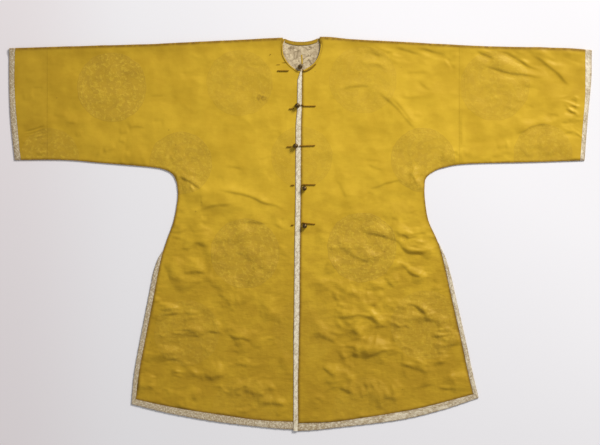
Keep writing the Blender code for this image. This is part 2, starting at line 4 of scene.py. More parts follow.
import bmesh
import bpy
import mathutils
import numpy as np
from bpy.props import FloatProperty, FloatVectorProperty, PointerProperty
from bpy.types import Operator, Panel, PropertyGroup
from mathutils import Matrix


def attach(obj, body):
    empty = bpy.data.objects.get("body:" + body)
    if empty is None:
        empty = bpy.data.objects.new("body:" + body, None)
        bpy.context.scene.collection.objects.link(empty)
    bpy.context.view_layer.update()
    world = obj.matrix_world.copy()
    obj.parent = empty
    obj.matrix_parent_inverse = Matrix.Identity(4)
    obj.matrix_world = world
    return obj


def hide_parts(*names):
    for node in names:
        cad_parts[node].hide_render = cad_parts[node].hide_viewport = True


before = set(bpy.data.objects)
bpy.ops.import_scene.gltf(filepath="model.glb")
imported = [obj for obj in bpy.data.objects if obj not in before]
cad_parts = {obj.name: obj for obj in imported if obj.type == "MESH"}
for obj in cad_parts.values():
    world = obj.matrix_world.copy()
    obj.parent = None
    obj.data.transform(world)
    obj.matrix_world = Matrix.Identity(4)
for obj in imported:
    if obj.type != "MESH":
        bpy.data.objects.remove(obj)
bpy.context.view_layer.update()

bl_info = {
    "name": "Silk robe laid flat",
    "version": (1, 0, 0),
    "blender": (4, 5, 0),
    "location": "3D View > Sidebar > Robe",
    "description": "Builds the cloth, trim, fastenings and stage of a damask robe that lies flat",
    "category": "Object",
}

MM = 0.001
UP = np.array((0.0, 0.0, 1.0))

# Levels, clearances and sizes of the CAD model: lengths and places in metres, and shares
WALL = 0.0015
GAP = 0.0003
LINING_WALL = 0.0010
BINDING_WALL = 0.0008
BACK_TOP = WALL
FRONT_BASE = BACK_TOP + GAP
FRONT_TOP = FRONT_BASE + WALL
OVERLAP_LIFT = WALL + GAP
LINING_LIFT = LINING_WALL + 2 * GAP
LINING_LEVEL = BACK_TOP + GAP
FOLD_LIFT = 0.0030
PILLOW = 0.0018
ARMPIT_UP = 0.145
UNDER_SHARE = 0.55
CALM_NEAR = 0.070
CALM_FAR = 0.115
UPPER_HEIGHT = 0.39
LOWER_HEIGHT = 0.66
SLEEVE_HEIGHT = 0.31
NECK_CENTRE = (0.003, 0.515)
NECK_PLATEAU = 0.085
NECK_FADE = 0.150
NECK_CORNER_SHARE = 0.62
BALL_RADIUS = 0.0068
CORD_RADIUS = 0.00175
BINDING_WIDTH = 0.0032
BAND_WIDTH = 0.0105
LINING_CENTRE = (0.003, 0.512)
LINING_RADII = (0.070, 0.068)
VENT_FIRST_STEP = 0.003
PANEL_POINT = (0.16, 0.30)

# Where the back hem's inner and outer edge cross the centre, in mm
BACK_HEM_IN_CENTRE = (0.0, -533.5)
BACK_HEM_OUT_CENTRE = (0.0, -555.0)

# The stage, in metres: the floor, the large light and where the camera stands
FLOOR_HALF = 7.0
FLOOR_LEVEL = -0.0005
KEY_PLACE = (2.97, 3.78, 3.13)
KEY_TARGET = (-0.3, -0.1, 0.0)
KEY_SIZE = (1.95, 1.50)
CAMERA_OVER = (-0.0014, 0.0329)

# The yellow tab inside the neck: its two edges' x at each height, in mm
LINING_TAB = ((1.6, 5.0, 508), (2.4, 6.2, 494), (3.0, 6.4, 482))

# The old smudge and the stitches of the sleeve seam and the bindings, in metres
SMUDGE = (-0.109, 0.386)
SEAM_STITCHES_X = 0.4649564
SEAM_STITCHES_UP = (0.352, 0.505)
SEAM_STITCH_PITCH = 0.0062
BINDING_STITCH_PITCH = 0.004

# The buttons' shanks and the thin loops round the balls of two pairs, in metres
SHANK_REACH = 0.0009
SHANK_RADIUS = 0.0019
SHANK_WIRE = 0.0006
LOOPS_SHOWN = (2, 3)
LOOP_RADII = (0.0066, 0.0056)
LOOP_CORD = 0.0012
LOOP_LIFT = 0.0013
LOOP_LAY = 0.0038

# How the visible shells are meshed and creased: every fourth row and column goes on inside
COARSE = 4
LAST_ROW = -1
FIRST_COLUMN = (slice(None), 0)
LAST_COLUMN = (slice(None), -1)
EDGE_STEPS = (0.0012, 0.0030)
ARMPIT_BUNCHING = 1.25
FOLD_ROWS = 8
BACK_UPPER_ROWS = 33
BACK_LOWER_ROWS = 57
LOWEST_TOP = 0.0026
LOWEST_INSIDE = 0.00172
CRUSH = 0.0115
WEAR_AND_SHADE_REACH = 0.0046

# Where the light comes from in plan, so each crease has its steep side away from it
LIGHT_PLAN = (0.52, 0.854)

# The damask's roundels repeat in a half-drop over the back, in metres
ROUNDEL_ACROSS = 0.352
ROUNDEL_ROW = 0.227
ROUNDEL_RADIUS = 0.100

Half = namedtuple("Half", "name sign seam_out shoulder neckline back_neck under_sleeve side vent_width "
                          "hem_in hem_out cuff_in cuff_out")
Patch = namedtuple("Patch", "x y reach_x reach_y count turn spread length width height")
Fastening = namedtuple("Fastening", "ball_x ball_y button_tail loop_tail")

# Each table of a half lists (out, up) stations in mm, or (up, width) for vent_width
RIGHT = Half(
    name="right", sign=-1, seam_out=0.7173,
    shoulder=((50, 556), (186, 550), (410, 539), (611, 533), (825, 527)),
    neckline=((50, 556), (50.5, 538), (49.6, 516), (46.8, 504), (35.4, 485), (24, 474), (7, 462.4),
              (-2.6, 460.8)),
    back_neck=((50, 556), (30, 548.5), (12, 545.4), (0, 545)),
    under_sleeve=((812, 210), (670, 210), (568, 202), (427, 190), (384, 182), (361, 168), (350, 145)),
    side=((350, 145), (347.5, 105), (358.6, 40), (378.5, -17), (395.5, -73), (418, -187), (440, -300),
          (457, -390), (466.5, -467.5)),
    vent_width=((-48, 1.2), (-73, 9), (-110, 13.5), (-482, 14.5)),
    hem_in=((466.5, -467.5), (404, -481.7), (330, -496), (228, -511.5), (115, -527), (12, -532)),
    hem_out=((479, -481.6), (400, -501.5), (330, -515.7), (228, -532.8), (86, -549), (12, -554)),
    cuff_in=((806.6, 527), (809.4, 500), (809.4, 400), (801, 295), (792.4, 210)),
    cuff_out=((825, 527), (824.8, 420), (820.8, 323), (809.5, 210)),
)
LEFT = Half(
    name="left", sign=1, seam_out=0.4494,
    shoulder=((54, 557.4), (98, 556), (166, 551), (279, 545), (506, 533), (721, 528), (825, 522)),
    neckline=((54, 557.4), (56.7, 539), (55.3, 522), (49.6, 502), (41, 488), (30, 477), (10, 465.2),
              (4.6, 462.5)),
    back_neck=((54, 557.4), (34, 549), (14, 545.4), (0, 545)),
    under_sleeve=((810, 209), (659, 204), (472, 199), (404, 188), (375, 176), (356, 160), (352, 145)),
    side=((352, 145), (352, 105), (362, 40), (387, -17), (404, -73), (429.5, -187), (455, -300),
          (474, -390), (489, -453.5)),
    vent_width=((-24, 1.2), (-48, 5), (-73, 9), (-130, 12), (-464, 13)),
    hem_in=((489, -453.5), (427, -470.3), (310, -498.7), (132, -527), (84, -532), (-6, -535)),
    hem_out=((504.6, -463.8), (398, -498.7), (276, -527), (84, -550.3), (33, -555.6), (-6, -557.4)),
    cuff_in=((806.6, 523), (806.6, 400), (801, 323), (792.4, 210)),
    cuff_out=((825, 523), (824.2, 440), (815, 338), (805, 210)),
)
HALVES = (RIGHT, LEFT)

# The front edge strip: a height and its two edges' x there, in mm
STRIP = (
    (461.0, 0.0, 4.3), (437.0, -8.5, 4.3), (352.0, -9.5, 3.5), (310.0, -13.5, 1.8), (100.0, -14.5, 0.6),
    (-45.0, -17.0, -1.4), (-215.0, -18.5, -2.6), (-300.0, -20.0, -4.3), (-420.0, -20.0, -7.1),
    (-557.4, -20.5, -6.5),
)

# The fastenings from the neck down: ball centre and the tails' points, in mm
FASTENINGS = (
    Fastening(-1.0, 473.5, ((5.3, 466.9), (10.5, 461.0), (20, 463.0), (33, 471), (44, 482)),
              ((-33, 462.4), (-66, 462.4))),
    Fastening(-9.0, 363.5, ((1.2, 365.5), (6, 366), (12, 362.5), (44, 362.5)),
              ((-17.6, 355), (-32.6, 354.5))),
    Fastening(-14.2, 249.5, ((-3.6, 249.5), (4, 249.8), (14, 249.8), (42, 251)),
              ((-24.6, 247.5), (-39, 247.5))),
    Fastening(11.1, 129.3, ((3.4, 137.0), (7, 140.5), (14, 140), (43.5, 140)),
              ((-16.9, 138.8), (-27.5, 138.4))),
    Fastening(11.9, 23.0, ((3.6, 29.5), (7.5, 32.8), (14, 30.8), (42, 28)),
              ((-18.5, 25.8), (-26.5, 25.8))),
)

# The broad folds of the fronts: end points, sideways bow, half width and height, in mm
FOLDS = (
    (-265, 116, -70, 72, 14, 20, 5.0), (-338, 150, -270, 112, 0, 22, 4.5),
    (-285, 88, -149, 97, -12, 20, 3.0), (-220, 44, -90, 24, 0, 20, 3.0),
    (-330, -52, -248, -48, 9, 20, 3.0), (-237, -280, -143, -314, 6, 22, 2.5),
    (64, 389, 203, 417, 10, 22, 2.5), (203, 417, 330, 295, 10, 24, 3.5), (470, 515, 690, 440, 6, 26, 3.5),
    (622, 287, 707, 309, 0, 20, 2.5), (205, 131, 330, 160, 0, 24, 3.5), (188, 12, 387, -60, -10, 26, 6.5),
    (262, -78, 339, -122, 0, 20, 4.0), (290, -195, 376, -235, 0, 22, 4.0),
    (92, -235, 245, -258, 12, 24, 5.0), (104, -320, 274, -300, -15, 22, 3.5),
    (-680, 330, -600, 312, 0, 20, 2.0),
)

# The sharper creases: height (a trough where negative), the widths of the side away from the light
# and of the side towards it, then x and y of each point where the steep side falls, all in mm
CREASES = (
    (-2.4, 4.5, 12, -356, 166, -345, 162, -323, 153, -303, 140, -278, 124),
    (-2.3, 5, 16, -249, 128, -194, 117, -162, 111, -130, 100, -104, 87, -65, 77, -33, 58),
    (2.0, 6, 16, -294, 72, -278, 69, -258, 77, -233, 82, -207, 83, -181, 90),
    (-1.1, 4, 8, -287, 37, -258, 30, -236, 27), (-0.7, 4, 7, -282, 54, -259, 55),
    (-1.8, 4.5, 12, -181, 38, -143, 33, -104, 27, -72, 22, -53, 13, -20, 3),
    (-1.2, 4, 8, -62, 40, -40, 42, -17, 35), (-1.0, 5, 10, -69, -52, -40, -61, -20, -73),
    (1.6, 6, 14, -355, -44, -323, -42, -303, -29, -291, -26, -271, -34, -246, -39),
    (1.9, 5, 13, -342, -113, -323, -111, -300, -106, -284, -109, -262, -111),
    (1.3, 9, 16, -381, -127, -364, -129, -329, -132), (-1.0, 4, 8, -403, -167, -381, -166, -355, -167),
    (-1.0, 5, 14, -217, -81, -181, -90, -139, -105), (-0.6, 3.5, 7, -194, 191, -169, 183),
    (-0.7, 4, 8, -107, 181, -84, 182, -59, 186), (-0.6, 4, 7, -92, 164, -67, 167),
    (-0.6, 4, 8, -245, 160, -217, 163),
    (-2.0, 5.5, 15, -287, -271, -253, -279, -219, -289, -185, -295, -157, -298, -137, -312, -117, -317),
    (-1.6, 6, 14, -236, -344, -212, -344, -191, -356), (1.3, 6, 12, -191, -371, -171, -373, -144, -381),
    (2.2, 7, 8, -123, -485, -89, -480, -55, -483, -28, -488),
    (0.9, 5, 8, -59, -458, -42, -448, -28, -448), (1.0, 4, 5, -154, -512, -140, -485, -123, -465),
    (0.9, 4, 5, -69, -526, -50, -507, -28, -495), (-0.8, 5, 9, -232, -441, -212, -424),
    (-0.6, 4, 6, -160, -260, -143, -258), (-0.7, 5, 10, -437, 390, -404, 391, -373, 390, -347, 389),
    (0.9, 5, 10, -515, 285, -498, 287, -483, 289),
    (1.1, 5, 12, -489, 297, -472, 304, -460, 304, -437, 301), (0.9, 5, 9, -517, 263, -494, 259),
    (1.2, 6, 10, -560, 231, -540, 238, -520, 244), (0.7, 5, 9, -637, 276, -615, 278),
    (0.8, 5, 10, -668, 316, -630, 314), (0.9, 8, 12, -702, 339, -679, 332, -656, 331),
    (-1.3, 2.8, 3.2, -788, 289, -756, 297, -722, 309), (-1.3, 2.8, 3.2, -787, 282, -753, 289, -721, 300),
    (-1.2, 2.8, 3.2, -787, 274, -753, 281, -721, 291), (-1.0, 2.8, 3.2, -775, 268, -750, 272, -721, 281),
    (0.9, 7, 10, -790, 382, -770, 384, -751, 388), (-0.5, 4, 7, -762, 415, -728, 416),
    (-0.5, 6, 10, -422, 323, -384, 323), (-0.9, 4, 9, -346, 458, -299, 456, -259, 460),
    (-0.5, 4, 8, -308, 471, -262, 479), (-0.7, 6, 10, -150, 494, -131, 482, -86, 479),
    (-0.7, 4, 7, -218, 369, -246, 312, -278, 270, -301, 225), (-0.6, 4, 7, -70, 344, -40, 354),
    (-0.6, 4.5, 9, -123, 208, -101, 215, -82, 218), (-0.6, 4, 8, -214, 191, -183, 188, -157, 180),
    (0.4, 4, 5, -38, 451, -40, 323, -40, 210, -39, 83), (-0.6, 5, 8, -55, 292, -62, 261),
    (-1.4, 5, 12, 101, 399, 123, 411, 161, 418, 199, 418, 208, 414),
    (-1.3, 3.5, 9, 210, 411, 240, 384, 271, 358, 297, 327, 324, 297, 339, 284),
    (-0.8, 3, 5, 254, 389, 282, 361, 308, 327, 324, 308), (-0.7, 4, 8, 331, 437, 350, 418, 373, 405),
    (0.6, 5, 8, 278, 395, 301, 386, 350, 388), (0.5, 5, 7, 319, 338, 335, 335, 347, 339),
    (-1.4, 5, 9, 172, 521, 180, 516, 210, 509, 233, 499), (-0.7, 4, 6, 240, 516, 262, 513),
    (-1.6, 5, 10, 263, 532, 293, 520, 327, 511, 354, 505),
    (-1.6, 5, 10, 324, 529, 361, 520, 395, 511, 418, 509), (-0.6, 3, 5, 418, 505, 425, 484, 441, 464),
    (-0.8, 6, 9, 282, 456, 331, 458, 373, 458), (-0.5, 3.5, 6, 172, 208, 200, 210, 233, 206),
    (-0.7, 4, 7, 184, 199, 214, 187, 240, 178),
    (-1.7, 4.5, 12, 189, 126, 219, 133, 239, 142, 260, 147, 295, 158),
    (-1.2, 6, 9, 189, 122, 201, 111, 216, 104), (-0.9, 6, 10, 90, 157, 110, 141, 122, 117, 134, 94),
    (-0.7, 4, 7, 255, 47, 280, 38),
    (-3.6, 8, 20, 149, 23, 172, 10, 195, -1, 233, -8, 266, -25, 289, -43, 312, -52, 351, -54, 386, -55),
    (1.6, 7, 12, 240, 17, 276, 2, 310, -14, 344, -28, 373, -34), (-1.0, 3.5, 6, 284, -1, 307, -9),
    (-1.1, 4, 8, 305, -1, 324, 0, 348, 2, 361, -3), (-0.8, 4, 8, 301, 59, 327, 63, 348, 70),
    (-1.9, 5, 14, 280, -79, 295, -97, 310, -111, 330, -119, 348, -123),
    (-0.6, 3.5, 6, 350, -113, 384, -116), (-0.5, 3.5, 6, 350, -126, 378, -130),
    (1.6, 6, 14, 236, -117, 248, -135, 263, -152, 277, -158),
    (-1.0, 6, 10, 119, -35, 131, -53, 149, -67, 166, -76),
    (-1.2, 4.5, 9, 129, -133, 149, -138, 172, -141, 189, -136, 200, -141),
    (1.5, 5, 12, 81, -180, 92, -184, 110, -186), (-0.8, 5, 9, 103, -198, 128, -209, 150, -212),
    (2.4, 6, 14, 81, -227, 110, -236, 139, -234, 168, -230, 193, -236, 214, -248, 239, -263),
    (1.8, 8, 12, 139, -266, 157, -281, 175, -297), (1.6, 5, 11, 124, -320, 150, -322, 168, -336),
    (2.1, 6, 14, 171, -352, 200, -345, 221, -335, 250, -324),
    (1.1, 5.5, 9, 78, -345, 99, -338, 114, -345, 135, -359), (1.5, 5, 10, 56, -374, 78, -390, 99, -405),
    (1.5, 5.5, 10, 107, -432, 128, -444, 153, -451), (0.9, 5, 8, 160, -464, 168, -500),
    (0.8, 3.5, 6, 31, -460, 52, -467, 71, -482),
    (-2.0, 5, 10, 293, -200, 322, -203, 344, -218, 365, -229),
    (-1.2, 3.5, 7, 336, -284, 369, -293, 415, -289), (-0.7, 4, 6, 333, -313, 361, -322),
    (-1.0, 4, 8, 250, -354, 293, -370, 329, -385, 361, -397), (-0.7, 3.5, 5, 350, -373, 367, -377),
    (0.9, 6, 9, 164, -428, 200, -433, 223, -431), (0.9, 5, 7, 207, -219, 236, -219),
    (0.8, 5, 8, 185, -198, 221, -203), (0.8, 5, 6, 454, 346, 454, 295, 455, 233),
    (-1.8, 5, 9, 494, 521, 517, 509, 537, 501, 551, 492),
    (-2.0, 5.5, 12, 547, 519, 577, 515, 603, 502, 627, 487, 646, 474, 670, 466, 689, 458),
    (2.0, 6, 14, 643, 511, 676, 496, 703, 474, 729, 454, 749, 431, 772, 413),
    (-1.8, 5, 11, 507, 481, 537, 471, 570, 461, 603, 453, 636, 451, 670, 443, 696, 436),
    (-1.2, 3.5, 5, 763, 383, 785, 375), (-1.3, 3.5, 5, 757, 363, 782, 362),
    (-1.3, 4, 7, 749, 355, 769, 345, 782, 339),
    (-1.7, 5.5, 13, 600, 286, 620, 286, 643, 297, 663, 306, 689, 310, 712, 307),
    (-0.8, 3.5, 6, 736, 316, 769, 316), (-0.7, 4, 7, 693, 339, 716, 339, 736, 334),
    (-0.9, 4.5, 7, 739, 284, 769, 289, 784, 295), (-0.8, 6, 8, 537, 219, 577, 219),
    (0.9, 8, 10, 554, 243, 574, 247, 597, 244), (-0.7, 7, 10, 620, 418, 645, 418, 670, 415, 689, 401),
    (-0.5, 5, 8, 627, 372, 650, 365, 663, 355), (1.6, 5, 8, 308, 184, 324, 150, 339, 127),
    (-1.2, 4, 5, 437, 236, 449, 218), (-0.6, 6, 9, 55, 323, 86, 339, 120, 358),
    (-0.4, 3, 5, 3, -52, 30, -51),
)

# Small puckers: where they lie, how many, their turn and its spread in degrees, and their sizes in mm
PATCHES = [Patch(*row) for row in (
    (-395, -175, 60, 40, 22, 4, 8, 38, 4.0, 0.55), (-360, -245, 55, 60, 60, 2, 6, 34, 3.2, 0.45),
    (-385, -390, 60, 60, 70, 0, 8, 32, 3.2, 0.5), (-250, -290, 110, 90, 44, -12, 20, 30, 5.0, 0.55),
    (-120, -380, 90, 90, 40, 20, 30, 28, 5.0, 0.55), (-250, -450, 190, 45, 56, 60, 50, 26, 5.0, 0.7),
    (-330, 20, 40, 80, 26, 0, 12, 34, 4.5, 0.6), (-120, -80, 90, 60, 20, -14, 12, 30, 4.5, 0.4),
    (-330, 150, 34, 30, 16, -38, 20, 26, 4.5, 0.8), (-450, 215, 120, 22, 22, 70, 30, 24, 5.5, 0.8),
    (-755, 250, 38, 34, 22, 12, 16, 24, 3.5, 0.5), (-600, 400, 180, 110, 18, -6, 14, 44, 7.0, 0.4),
    (-200, 430, 130, 80, 16, -16, 20, 40, 6.0, 0.35), (-60, 100, 30, 340, 26, 4, 16, 24, 4.0, 0.3),
    (180, -250, 110, 90, 46, -10, 40, 32, 6.0, 0.85), (150, -400, 130, 80, 60, -20, 50, 30, 6.0, 0.8),
    (330, -330, 90, 110, 60, -14, 22, 32, 4.5, 0.65), (300, -440, 150, 40, 44, 70, 50, 28, 6.0, 0.7),
    (420, -200, 30, 150, 40, 0, 10, 36, 3.8, 0.6), (345, 20, 40, 70, 26, 2, 16, 34, 4.5, 0.75),
    (335, 160, 40, 34, 22, 62, 26, 24, 4.5, 0.85), (180, -110, 110, 60, 24, -12, 26, 34, 5.5, 0.55),
    (200, 200, 130, 90, 16, -8, 24, 40, 6.0, 0.35), (30, -280, 20, 240, 44, 2, 12, 14, 3.0, 0.35),
    (440, 225, 36, 22, 18, 74, 26, 22, 4.5, 0.75), (600, 235, 130, 24, 18, 40, 50, 26, 6.0, 0.55),
    (770, 330, 26, 60, 22, -14, 22, 24, 4.0, 0.8), (620, 400, 120, 90, 18, -12, 20, 40, 6.0, 0.4),
    (300, 500, 140, 24, 22, -22, 12, 34, 5.0, 0.7), (640, 500, 130, 24, 18, -24, 12, 40, 5.5, 0.7),
)]

# The slow swell of the cloth between its creases: waves to the metre across and up, height and shift
WAVES = (
    (3.1, 7.7, 0.00042, 0.4), (-5.3, 6.1, 0.00034, 1.9), (8.9, 3.3, 0.00026, 4.1),
    (11.3, -9.1, 0.0002, 2.7), (-2.3, 15.7, 0.00022, 5.2), (17.9, 5.9, 0.00012, 0.9),
)

# The damask roundels that show on the front: x and y of the centre, radius (all in mm) and strength
ROUNDELS = (
    (-534, 417, 102, 1.0), (-172, 428, 97, 0.5), (-339, 201, 92, 0.85), (-710, 218, 86, 0.75),
    (4, 218, 90, 0.45), (177, 437, 99, 0.45), (347, 210, 94, 0.8), (551, 420, 102, 0.6),
    (687, 230, 86, 0.65), (-157, -54, 102, 0.9), (174, -37, 102, 1.0), (-322, -280, 96, 0.5),
    (353, -258, 102, 0.6), (10, -272, 92, 0.2), (-157, -499, 96, 0.25), (183, -499, 96, 0.25),
)

# The cut, in metres: each body width's width and flat area, the length of both, front and back together,
# the way round a sleeve and the share of it that an end fills, and the sizes of the other sheets
BODY_CUT = {"right": (0.717, 1.095), "left": (0.505, 0.940)}
BODY_LENGTH = 2.17
SLEEVE_ROUND = 0.65
SLEEVE_FILL = 0.97
CUFF_WIDTH = {"right": 0.0185, "left": 0.0165}
STRIP_CUT = (0.0175, 1.018)
STRIP_AREA = 0.0151
LINING_CUT = (0.140, 0.110)
TAB_CUT = (0.0034, 0.026)
NARROWEST_SHEET = 0.0101

# Loose brown thread ends by the neck's right side: x and y of each one's two ends, in mm
THREAD_ENDS = (
    (-52, 485.5, -35, 486.5), (-69, 479.5, -56.5, 480.5), (-88, 508, -83, 509.5), (-64, 461, -33, 462.5),
)


def smooth_curve(stations, per_span=12):
    """Dense points in metres on the Catmull-Rom curve through stations in mm."""
    p = np.asarray(stations, dtype=float) * MM
    q = np.vstack((2 * p[0] - p[1], p, 2 * p[-1] - p[-2]))
    t = np.linspace(0.0, 1.0, per_span, endpoint=False)[:, None]
    spans = [
        0.5 * (2 * b + (c - a) * t + (2 * a - 5 * b + 4 * c - d) * t ** 2 + (3 * b - a - 3 * c + d) * t ** 3)
        for a, b, c, d in zip(q, q[1:], q[2:], q[3:])
    ]
    return np.vstack(spans + [p[-1:]])


def shares(count):
    """Even shares from 0 to 1."""
    return np.linspace(0.0, 1.0, count)


def between(a, b, share):
    """Points at a share of the way from one row to another."""
    return a * (1 - share) + b * share


def step_lengths(curve):
    """The distance from each point of a row to the next."""
    return np.linalg.norm(np.diff(curve, axis=0), axis=1)


def length_along(curve):
    """The length of a row of points up to each of them."""
    return np.concatenate(([0.0], np.cumsum(step_lengths(curve))))


def curve_length(curve):
    """Length of a row of points."""
    return float(step_lengths(curve).sum())


def unit(rows):
    """Vectors in rows, each made one long."""
    return rows / np.linalg.norm(rows, axis=1)[:, None]


def circle(count):
    """Even angles once round."""
    return np.linspace(0.0, 2 * math.pi, count, endpoint=False)


def joined(a, b):
    """Two arrays as the last axis of one, each widened to fit the other."""
    return np.stack(np.broadcast_arrays(a, b), axis=-1)


def flip(half):
    """What turns (out, up) into (x, y) on a half."""
    return np.array((half.sign, 1.0))


def at_fractions(curve, fractions):
    """Points at the given fractions of a curve's length."""
    length = length_along(curve)
    s = np.asarray(fractions) * length[-1]
    return np.column_stack([np.interp(s, length, curve[:, k]) for k in range(curve.shape[1])])


def up_at(curve, out):
    """Height of a curve that is single-valued in out."""
    order = np.argsort(curve[:, 0])
    return np.interp(out, curve[order, 0], curve[order, 1])


def out_at(curve, up):
    """Distance out of a curve that is single-valued in up."""
    order = np.argsort(curve[:, 1])
    return np.interp(up, curve[order, 1], curve[order, 0])


def to_left(run):
    """Each (x, y) turned a quarter to the left."""
    return np.column_stack((-run[:, 1], run[:, 0]))


def strip_edges(up):
    """The strip's left and right x at each height."""
    up_rows, left, right = np.array(STRIP)[::-1].T * MM
    return np.interp(up, up_rows, left), np.interp(up, up_rows, right)


def front_centre_out(half, up):
    """Where each front panel ends: under the strip on the right, beside it on the left."""
    left, right = strip_edges(up)
    if half.sign < 0:
        return -(left + UNDER_SHARE * (right - left))
    return right + GAP


def back_centre_out(half, up):
    """Half a gap from the centre-back seam."""
    return np.full_like(np.asarray(up, dtype=float), GAP / 2)


def rise(low, high, value):
    """0 below low, 1 above high, and a smooth rise between."""
    t = np.clip((value - low) / (high - low), 0.0, 1.0)
    return t * t * (3 - 2 * t)


def fall(low, high, value):
    """1 below low, 0 above high, and a smooth fall between."""
    return 1 - rise(low, high, value)


def neck_lift(x, y):
    """The fronts' rise over the lining patch: level near the neck, then fading out."""
    reach = np.hypot(x - NECK_CENTRE[0], y - NECK_CENTRE[1])
    return LINING_LIFT * fall(NECK_PLATEAU, NECK_FADE, reach)


def overlap_lift(half, x):
    """The left front's rise to the strip, which lies over the right front."""
    if half.sign < 0:
        return np.zeros_like(x)
    return OVERLAP_LIFT * fall(CALM_NEAR, CALM_FAR, np.abs(x))


def fold_height(x, y):
    """Rounded ridges along the folds: height * exp(-(d / half_width)^2), tapered at the ends."""
    total = np.zeros_like(x)
    for x0, y0, x1, y1, bow, half_width, height in FOLDS:
        start = np.array((x0, y0)) * MM
        run = np.array((x1, y1)) * MM - start
        length = np.linalg.norm(run)
        along = run / length
        t = ((x - start[0]) * along[0] + (y - start[1]) * along[1]) / length
        side = (y - start[1]) * along[0] - (x - start[0]) * along[1]
        arc = bow * MM * 4 * t * (1 - t)
        taper = rise(-0.15, 0.2, t) * fall(0.8, 1.15, t)
        total += height * MM * taper * np.exp(-((side - arc) / (half_width * MM)) ** 2)
    return total


def nearest_on_line(x, y, line):
    """Distance to a row of points, the side (positive to the left) and the share of its length."""
    run = np.diff(line, axis=0)
    size = np.maximum((run ** 2).sum(axis=1), 1e-12)
    length = np.sqrt(size)
    before = np.concatenate(([0.0], np.cumsum(length)))
    best = np.full(x.shape, 1e9)
    side = np.zeros_like(x)
    share = np.zeros_like(x)
    for a, d, s, l, at in zip(line, run, size, length, before):
        rx = x - a[0]
        ry = y - a[1]
        t = np.clip((rx * d[0] + ry * d[1]) / s, 0.0, 1.0)
        gap = (rx - t * d[0]) ** 2 + (ry - t * d[1]) ** 2
        closer = gap < best
        best = np.where(closer, gap, best)
        side = np.where(closer, np.sign(d[0] * ry - d[1] * rx), side)
        share = np.where(closer, (at + t * l) / before[-1], share)
    return np.sqrt(best), side, share


def box_round(x, y, line, reach):
    """Which points lie within a reach of the box round a row of points."""
    low = line.min(axis=0) - reach
    high = line.max(axis=0) + reach
    return (x > low[0]) & (x < high[0]) & (y > low[1]) & (y < high[1])


def distance_to(grid, lines, reach=0.06):
    """Distance to the nearest of some rows of points, no more than a reach."""
    x, y = grid[..., 0], grid[..., 1]
    best = np.full(x.shape, reach)
    for line in lines:
        near = box_round(x, y, line, reach)
        if near.any():
            best[near] = np.minimum(best[near], nearest_on_line(x[near], y[near], line)[0])
    return best


def crease_height(x, y):
    """Creases: height * exp(-(s / width)^2), s from a line beside the path, steep away from the light."""
    total = np.zeros_like(x)
    for height, steep, gentle, *path in CREASES:
        line = smooth_curve(np.reshape(path, (-1, 2)), 4)
        lower = fall(-0.10, 0.15, line[:, 1].mean())
        steep = steep * MM * (1 + 0.2 * lower)
        gentle = gentle * MM * (1.35 + 0.45 * lower)
        near = box_round(x, y, line, 2.6 * (steep + gentle))
        if not near.any():
            continue
        gap, side, share = nearest_on_line(x[near], y[near], line)
        run = line[-1] - line[0]
        lit = -1.0 if run[0] * LIGHT_PLAN[1] - run[1] * LIGHT_PLAN[0] < 0 else 1.0
        if height > 0:
            s = gap * side * lit - 0.7 * steep
            width = np.where(s > 0, gentle, steep)
        else:
            s = gap * side * lit + 0.7 * steep
            width = np.where(s > 0, steep, gentle)
        taper = rise(0.0, 0.3, share) * fall(0.7, 1.0, share)
        total[near] += height * MM * taper * np.exp(-(s / width) ** 2)
    return total


def pucker_rows():
    """x, y, turn, half length, width and height of every small pucker, in metres and radians."""
    draw = np.random.default_rng(29)
    rows = []
    for patch in PATCHES:
        place = draw.uniform(-1.0, 1.0, (patch.count, 2)) * (patch.reach_x, patch.reach_y)
        turn = np.radians(patch.turn + patch.spread * draw.normal(size=patch.count))
        length = patch.length * draw.uniform(0.5, 1.25, patch.count)
        width = np.maximum(patch.width, 3.4) * draw.uniform(0.8, 1.5, patch.count)
        height = patch.height * draw.uniform(0.35, 1.25, patch.count)
        sign = np.where(draw.uniform(size=patch.count) < 0.72, 1.0, -1.0)
        rows.append(np.column_stack((
            (patch.x + place[:, 0]) * MM, (patch.y + place[:, 1]) * MM, turn,
            length * MM, width * MM, height * sign * MM,
        )))
    return np.vstack(rows)


def pucker_height(x, y):
    """Small puckers: height * exp(-(across / width)^2) * (1 - (along / length)^2)^2, a little bent."""
    total = np.zeros_like(x)
    low_x, high_x, low_y, high_y = x.min(), x.max(), y.min(), y.max()
    for px, py, turn, length, width, height in pucker_rows():
        if not (low_x - length < px < high_x + length and low_y - length < py < high_y + length):
            continue
        near = (np.abs(x - px) < length) & (np.abs(y - py) < length)
        rx = x[near] - px
        ry = y[near] - py
        along = (rx * math.cos(turn) + ry * math.sin(turn)) / length
        across = ry * math.cos(turn) - rx * math.sin(turn)
        across = across - 0.10 * length * along ** 2
        taper = np.clip(1 - along ** 2, 0.0, 1.0) ** 2
        total[near] += height * taper * np.exp(-(across / width) ** 2)
    return total


def swell(x, y):
    """The slow swell of laid cloth: a sum of sine waves of different runs."""
    total = np.zeros_like(x)
    for across, up, height, shift in WAVES:
        total += height * np.sin(2 * math.pi * (across * x + up * y) + shift)
    return total


